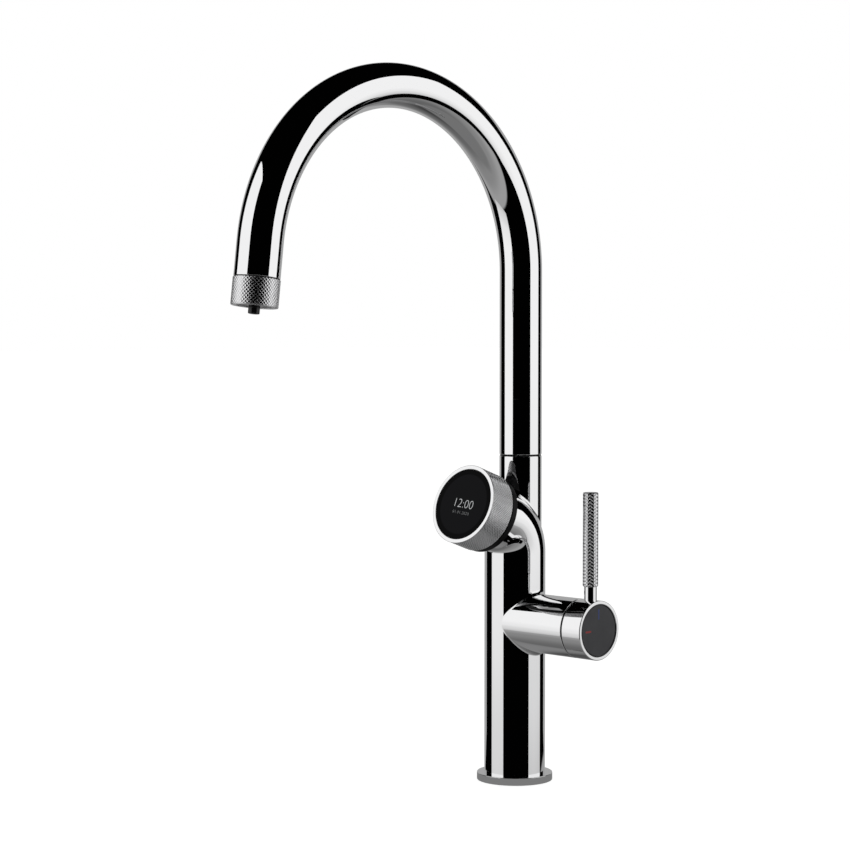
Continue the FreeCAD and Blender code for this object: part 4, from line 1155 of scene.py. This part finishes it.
CHROME = new_material("polished_chrome", CHROME_COLOUR, metallic=1, roughness=0.012)
hazy(CHROME, clean=0.012, dull=0.03, scale=30)
MATT_BLACK = moulded("matt_black_plastic", (0.003, 0.003, 0.0033), 0.4, 0.5)
finish(MATT_BLACK, {"Specular IOR Level": 0.2})
COLLAR_CHROME = knurled_metal("knurled_collar_chrome", ON_OUTLET, COLLAR_R, COLLAR_KNURL,
                              polished=0.04, dull=0.34)
GRIP_CHROME = knurled_metal("knurled_grip_chrome", ON_LEVER, GRIP_R, GRIP_KNURL,
                            polished=0.04, dull=0.28)
DIAL_CHROME = knurled_metal("knurled_dial_chrome", ON_DIAL, DIAL_R, DIAL_KNURL,
                            polished=0.12, dull=0.42)
FINISHES = {
    "chrome": CHROME,
    "knurled_chrome": COLLAR_CHROME,
    "brass": machined_metal("machined_brass", (0.62, 0.44, 0.17), 0.22, 0.38),
    "steel": machined_metal("screw_steel", (0.45, 0.45, 0.46), 0.22, 0.36),
    "rubber": moulded("seal_rubber", (0.012, 0.012, 0.013), 0.55, 0.75,
                      drift=0.25, grain=900, depth=0.02 * MM),
    "line_plastic": moulded("line_plastic", (0.75, 0.75, 0.72), 0.35, 0.5, drift=0.05),
    "black_plastic": moulded("moulded_black_plastic", (0.004, 0.004, 0.0045), 0.2, 0.3),
    "cartridge_plastic": moulded("cartridge_plastic", (0.72, 0.71, 0.66), 0.35, 0.5, drift=0.06),
    "ceramic": moulded("lapped_ceramic", (0.82, 0.81, 0.77), 0.12, 0.2,
                       drift=0.04, grain=2400, depth=0.003 * MM),
    "charcoal": moulded("charcoal_disc", (0.022, 0.022, 0.027), 0.3, 0.4,
                        drift=0.08, grain=2200, depth=0.004 * MM),
    "circuit": moulded("circuit_green", (0.02, 0.11, 0.05), 0.35, 0.5,
                       drift=0.2, grain=1200, depth=0.02 * MM),
    "display": moulded("display_black", (0.006, 0.006, 0.007), 0.2, 0.3),
    "magnet": moulded("sintered_magnet", (0.05, 0.05, 0.052), 0.5, 0.7,
                      drift=0.25, grain=1800, depth=0.02 * MM),
    "black_glass": cover_glass(),
}
RED = moulded("tick_red", (0.34, 0.012, 0.012), 0.35, 0.45, drift=0.06)
BLUE = moulded("tick_blue", (0.022, 0.045, 0.19), 0.35, 0.45, drift=0.06)
BRIGHT_DIGITS = lit_digits("display_digits", glow=0.46)
DIM_DIGITS = lit_digits("display_small_digits", glow=0.2)


# Pieces on their bodies
def dress(piece, body, slot, material, *nodes):
    """Gives a piece its finish and its body, and lets it stand for CAD nodes."""
    piece.data.materials.clear()
    piece.data.materials.append(material)
    if nodes:
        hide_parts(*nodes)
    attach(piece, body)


def dress_frame_nodes():
    """Gives every CAD node the finish of its slot."""
    for row in frame["record"]["subparts"]:
        mesh = NODES[row["node"]].data
        mesh.materials.clear()
        mesh.materials.append(FINISHES[row["material_slot"]])


dress_frame_nodes()
dress(base_flange(), "tap_body", "chrome", CHROME, "base_flange")
dress(body_casting(), "tap_body", "chrome", CHROME, "body_casting")
dress(swivel_glide_ring(), "tap_body", "black_plastic", MATT_BLACK, "swivel_glide_ring")
dress(handle_glide_ring(), "tap_body", "black_plastic", MATT_BLACK, "handle_glide_ring")
dress(dial_base(), "tap_body", "black_plastic", MATT_BLACK, "dial_base")
dress(spout_tube(), "spout", "chrome", CHROME, "spout_tube")
dress(aerator_collar(), "spout", "knurled_chrome", COLLAR_CHROME, "aerator_collar")
# The black seam ring is painted shade in the collar's shadow gap
dress(collar_seam_shade_ring(), "spout", "rubber", FINISHES["rubber"])
dress(filter_nozzle(), "spout", "black_plastic", FINISHES["black_plastic"], "filter_nozzle")
dress(handle_sleeve(), "lever", "chrome", CHROME, "handle_sleeve")
dress(indicator_disc(), "lever", "charcoal", FINISHES["charcoal"], "indicator_disc")
dress(tick("cold_tick", BLUE_TICK_R, BLUE_TICK_LEN, math.pi / 2), "lever", "charcoal", BLUE)
dress(tick("hot_tick", RED_TICK_R, RED_TICK_LEN, math.pi), "lever", "charcoal", RED)
dress(lever_stem(), "lever", "chrome", CHROME, "lever_stem")
dress(lever_grip(), "lever", "knurled_chrome", GRIP_CHROME, "lever_grip")
dress(dial_sleeve(), "dial_ring", "knurled_chrome", DIAL_CHROME, "dial_sleeve")
dress(dial_bezel(), "dial_ring", "chrome", CHROME, "dial_bezel")
dress(display_glass(), "dial_core", "black_glass", FINISHES["black_glass"], "display_glass")
dress(display_text("display_time", "12:00", TIME_H, down=0, spacing=1.0),
      "dial_core", "display", BRIGHT_DIGITS)
dress(display_text("display_date", "01.01.2020", DATE_H, down=DATE_DROP, spacing=1.2),
      "dial_core", "display", DIM_DIGITS)

# Stage: places are in metres, and strengths are of a plain white glow
WHITE = (1, 1, 1, 1)
AMBIENT = 0.5
DARK = 0.0004
UPRIGHT = math.pi / 2
CAMERA_RIGHT = Vector((math.sqrt(0.5), math.sqrt(0.5), 0))
CAMERA_AWAY = Vector((-math.sqrt(0.5), math.sqrt(0.5), 0))
SOFTBOX_FADE = ((0.0, 0.60), (0.10, 0.76), (0.22, 0.92), (0.36, 1.0))
# Low floor's grade from its middle out: painted shade, darkest under the tap, then a fade at its
# edge
LOW_FLOOR_SHADE_FADE = ((0.0, 0.12), (0.33, 0.40), (0.60, 0.72), (0.83, 1.0), (0.93, 1.0), (0.99, 0.0))
# Upright cards: azimuth, distance and height of the middle, size, yaw, strength,
# and fade from the foot up
UPRIGHT_CARDS = (
    ("left_softbox", -72, 0.813, 0.37, (0.81, 1.24), -0.9, 0.97, SOFTBOX_FADE),
    ("right_softbox", 81.9, 1.09, 0.505, (1.18, 1.53), -8.5, 0.97, SOFTBOX_FADE),
    ("backdrop", 180, 1.2, 0.25, (2.3, 1.5), 0, 0.40, None),
)
LOW_FLOOR = -0.26
LOW_FLOOR_R = 1.2
LOW_FLOOR_MIDDLE = CAMERA_AWAY * 0.35 + CAMERA_RIGHT * 0.1 + Vector((0, 0, LOW_FLOOR))
LOW_FLOOR_GREY = 0.345
BLACK_FLOOR_SIZE = (8, 8)
GAP_NEAR = (0.37, 0.044)
GAP_FAR = (1.07, -0.2)
GAP_WIDE = 2.4
GAP_TURN = -math.pi / 4
SHADE_MIDDLE = (0.008, -0.03, 0.25)
SHADE_R = 0.085
SHADE_CORE = 0.75
SHADE_CLEAR = 0.1
SHADE_GREY = 0.18
BASE_BAND_R = FLANGE_R + MM
BASE_BAND_H = 8 * MM
BASE_BAND_TOP = FLANGE_T - FLANGE_EDGE
BASE_BAND_GREY = 0.21
ROOM_SIDES = 48
ROOM_R = 4
ROOM_H = 8
ROOM_Z = 1.5
FLOOR_SIZE = 40
FLOOR_Z = -0.4 * MM
FLOOR_COLOUR = (0.4, 0.4, 0.4)
FLOOR_LIFT = 0.85
CAMERA_SPOT = (1.03122, -1.11001, 0.30274)
CAMERA_TILT = math.radians(90 - 2.526)
CAMERA_TURN = math.radians(45.152)
CAMERA_LENS = 96.887
CAMERA_SENSOR = 36


def ray_mask(tree):
    """1 for rays from the camera, and for those that metal or glass sends on."""
    rays = add_node(tree, "LightPath", {})
    either = math_of(tree, "MAXIMUM", rays["Is Camera Ray"], rays["Is Glossy Ray"])
    return math_of(tree, "MAXIMUM", either, rays["Is Transmission Ray"])


def white_world():
    """White surroundings, at full strength to the camera and in mirrors, and softer as light."""
    world = bpy.data.worlds.new("white_room")
    bpy.context.scene.world = world
    world.use_nodes = True
    tree = world.node_tree
    strength = spread(tree, ray_mask(tree), {"To Min": AMBIENT, "To Max": 1.0})
    feed(tree, tree.nodes["Background"], {"Color": WHITE, "Strength": strength})


def glow_material(name, strength):
    """Plain light of one strength."""
    material = bpy.data.materials.new(name)
    material.use_nodes = True
    tree = material.node_tree
    tree.nodes.clear()
    glow = add_node(tree, "Emission", {"Color": WHITE, "Strength": strength})
    add_node(tree, "OutputMaterial", {"Surface": glow[0]})
    return material


def graded(tree, way, first, last, stops):
    """Grades a glow through (share, strength) stops, from a first to a last value of a socket."""
    ramp = tree.nodes.new("ShaderNodeValToRGB")
    ramp.color_ramp.interpolation = "EASE"
    points = ramp.color_ramp.elements
    while len(points) < len(stops):
        points.new(0.5)
    for point, (position, strength) in zip(points, stops):
        point.position = position
        point.color = (strength, strength, strength, 1)
    feed(tree, ramp, {"Fac": spread(tree, way, {"From Min": first, "From Max": last})})
    feed(tree, tree.nodes["Emission"], {"Color": ramp.outputs["Color"]})


def seen_from_above(tree, *shares):
    """Makes a card see-through from below, and by the shares that further sockets give."""
    seen = math_of(tree, "SUBTRACT", 1, add_node(tree, "NewGeometry", {})["Backfacing"])
    for share in shares:
        seen = math_of(tree, "MULTIPLY", seen, share)
    through = add_node(tree, "BsdfTransparent", {})[0]
    inputs = {"Fac": seen, 1: through, 2: tree.nodes["Emission"].outputs[0]}
    either = add_node(tree, "MixShader", inputs)[0]
    feed(tree, tree.nodes["Material Output"], {"Surface": either})


def mirror_only(card, strength, lights=False):
    """Makes a card glow, hidden from the camera; it may light the tap. Returns its node tree."""
    material = glow_material(card.name, strength)
    card.data.materials.append(material)
    card.visible_camera = False
    card.visible_shadow = False
    card.visible_diffuse = lights
    return material.node_tree


def panel(name, centre, size, turn, tilt, strength, lights=True, stops=None):
    """A flat glowing or dark card for the chrome to mirror; it faces along its own Z."""
    fresh_start()
    bpy.ops.mesh.primitive_plane_add(size=1)
    card = named(name)
    card.scale = (*size, 1)
    bpy.ops.object.transform_apply(scale=True)
    card.location = centre
    card.rotation_euler = (tilt, 0, turn)
    tree = mirror_only(card, strength, lights)
    if stops:
        up = add_node(tree, "SeparateXYZ", {0: object_spot(tree)})["Y"]
        graded(tree, up, -size[1] / 2, size[1] / 2, stops)
    return tree


def disc_card(name, middle, radius, sides, strength):
    """A flat round card that faces up."""
    fresh_start()
    bpy.ops.mesh.primitive_circle_add(vertices=sides, radius=radius, fill_type="NGON",
                                      location=middle)
    return mirror_only(named(name), strength)


def drum(name, height, radius, depth, sides, ends, strength):
    """A round wall about Z, with or without its ends; the height is its middle's."""
    fresh_start()
    bpy.ops.mesh.primitive_cylinder_add(vertices=sides, radius=radius, depth=depth,
                                        end_fill_type=ends, location=(0, 0, height))
    mirror_only(named(name), strength)


def seen_at(azimuth, distance, height):
    """Point round the tap; azimuth 0 is towards the camera and grows to the right."""
    turn = math.radians(azimuth)
    flat = CAMERA_RIGHT * math.sin(turn) * distance - CAMERA_AWAY * math.cos(turn) * distance
    return Vector((flat.x, flat.y, height))


def facing(point, yaw):
    """Turn about Z of a card that stands at a point and faces the tap, with a further yaw."""
    return math.atan2(-point.y, -point.x) + math.pi / 2 + math.radians(yaw)


def studio():
    """Two tall softboxes, a grey backdrop and a low grey floor in a dark room."""
    for name, azimuth, distance, height, size, yaw, strength, fade in UPRIGHT_CARDS:
        middle = seen_at(azimuth, distance, height)
        panel(name, middle, size, facing(middle, yaw), UPRIGHT, strength, stops=fade)
    panel("low_black_floor", (0, 0, LOW_FLOOR - MM), BLACK_FLOOR_SIZE, 0, 0, DARK, lights=False)
    low_floor()
    gap_card()
    dial_shade()
    # The flange's edge mirrors the band; the room keeps the white backdrop out of all mirrors
    drum("grey_base_band", BASE_BAND_TOP - BASE_BAND_H / 2, BASE_BAND_R, BASE_BAND_H, ROUND,
         "NOTHING", BASE_BAND_GREY)
    drum("dark_room", ROOM_Z, ROOM_R, ROOM_H, ROOM_SIDES, "NGON", DARK)
    floor()


def low_floor():
    """A round grey floor that the undersides mirror, with painted shade that darkens it near the
    tap.
    """
    tree = disc_card("low_grey_floor", LOW_FLOOR_MIDDLE, LOW_FLOOR_R, ROUND, LOW_FLOOR_GREY)
    graded(tree, reach_from_axis(tree, object_spot(tree)), 0, LOW_FLOOR_R, LOW_FLOOR_SHADE_FADE)


def gap_card():
    """A sloping black card on the right, which parts softbox and floor as the arch sees them."""
    (near, high), (far, low) = GAP_NEAR, GAP_FAR
    middle = seen_at(90, (near + far) / 2, (high + low) / 2)
    slope = math.atan2(low - high, far - near)
    size = (GAP_WIDE, math.hypot(far - near, low - high))
    seen_from_above(panel("right_gap_card", middle, size, GAP_TURN, slope, DARK, lights=False))


def dial_shade():
    """A soft grey patch over the dial that only the arch sees, in place of the tap's own image."""
    tree = disc_card("dial_shade", SHADE_MIDDLE, SHADE_R, COARSE_ROUND, SHADE_GREY)
    fade = soft_disc(tree, object_spot(tree), SHADE_R, SHADE_R * SHADE_CORE)
    length = add_node(tree, "LightPath", {})["Ray Length"]
    seen_from_above(tree, fade, math_of(tree, "GREATER_THAN", length, SHADE_CLEAR))


def floor():
    """White floor that takes the tap's soft shadow; the chrome mirrors the cards instead."""
    fresh_start()
    bpy.ops.mesh.primitive_plane_add(size=FLOOR_SIZE, location=(0, 0, FLOOR_Z))
    ground = named("white_floor")
    material = new_material("white_floor", FLOOR_COLOUR, metallic=0, roughness=1.0)
    tree = material.node_tree
    lift = math_of(tree, "MULTIPLY", ray_mask(tree), FLOOR_LIFT)
    finish(material, {"Specular IOR Level": 0, "Emission Color": WHITE, "Emission Strength": lift})
    ground.data.materials.append(material)
    ground.visible_glossy = False
    ground.visible_shadow = False


def photo_camera():
    """Camera at the photograph's viewing angle."""
    data = bpy.data.cameras.new("photo_camera")
    data.lens = CAMERA_LENS
    data.sensor_width = CAMERA_SENSOR
    camera = bpy.data.objects.new("photo_camera", data)
    camera.location = CAMERA_SPOT
    camera.rotation_euler = (CAMERA_TILT, 0, CAMERA_TURN)
    bpy.context.scene.collection.objects.link(camera)
    bpy.context.scene.camera = camera


white_world()
studio()
photo_camera()
bpy.context.scene.view_settings.view_transform = "Standard"
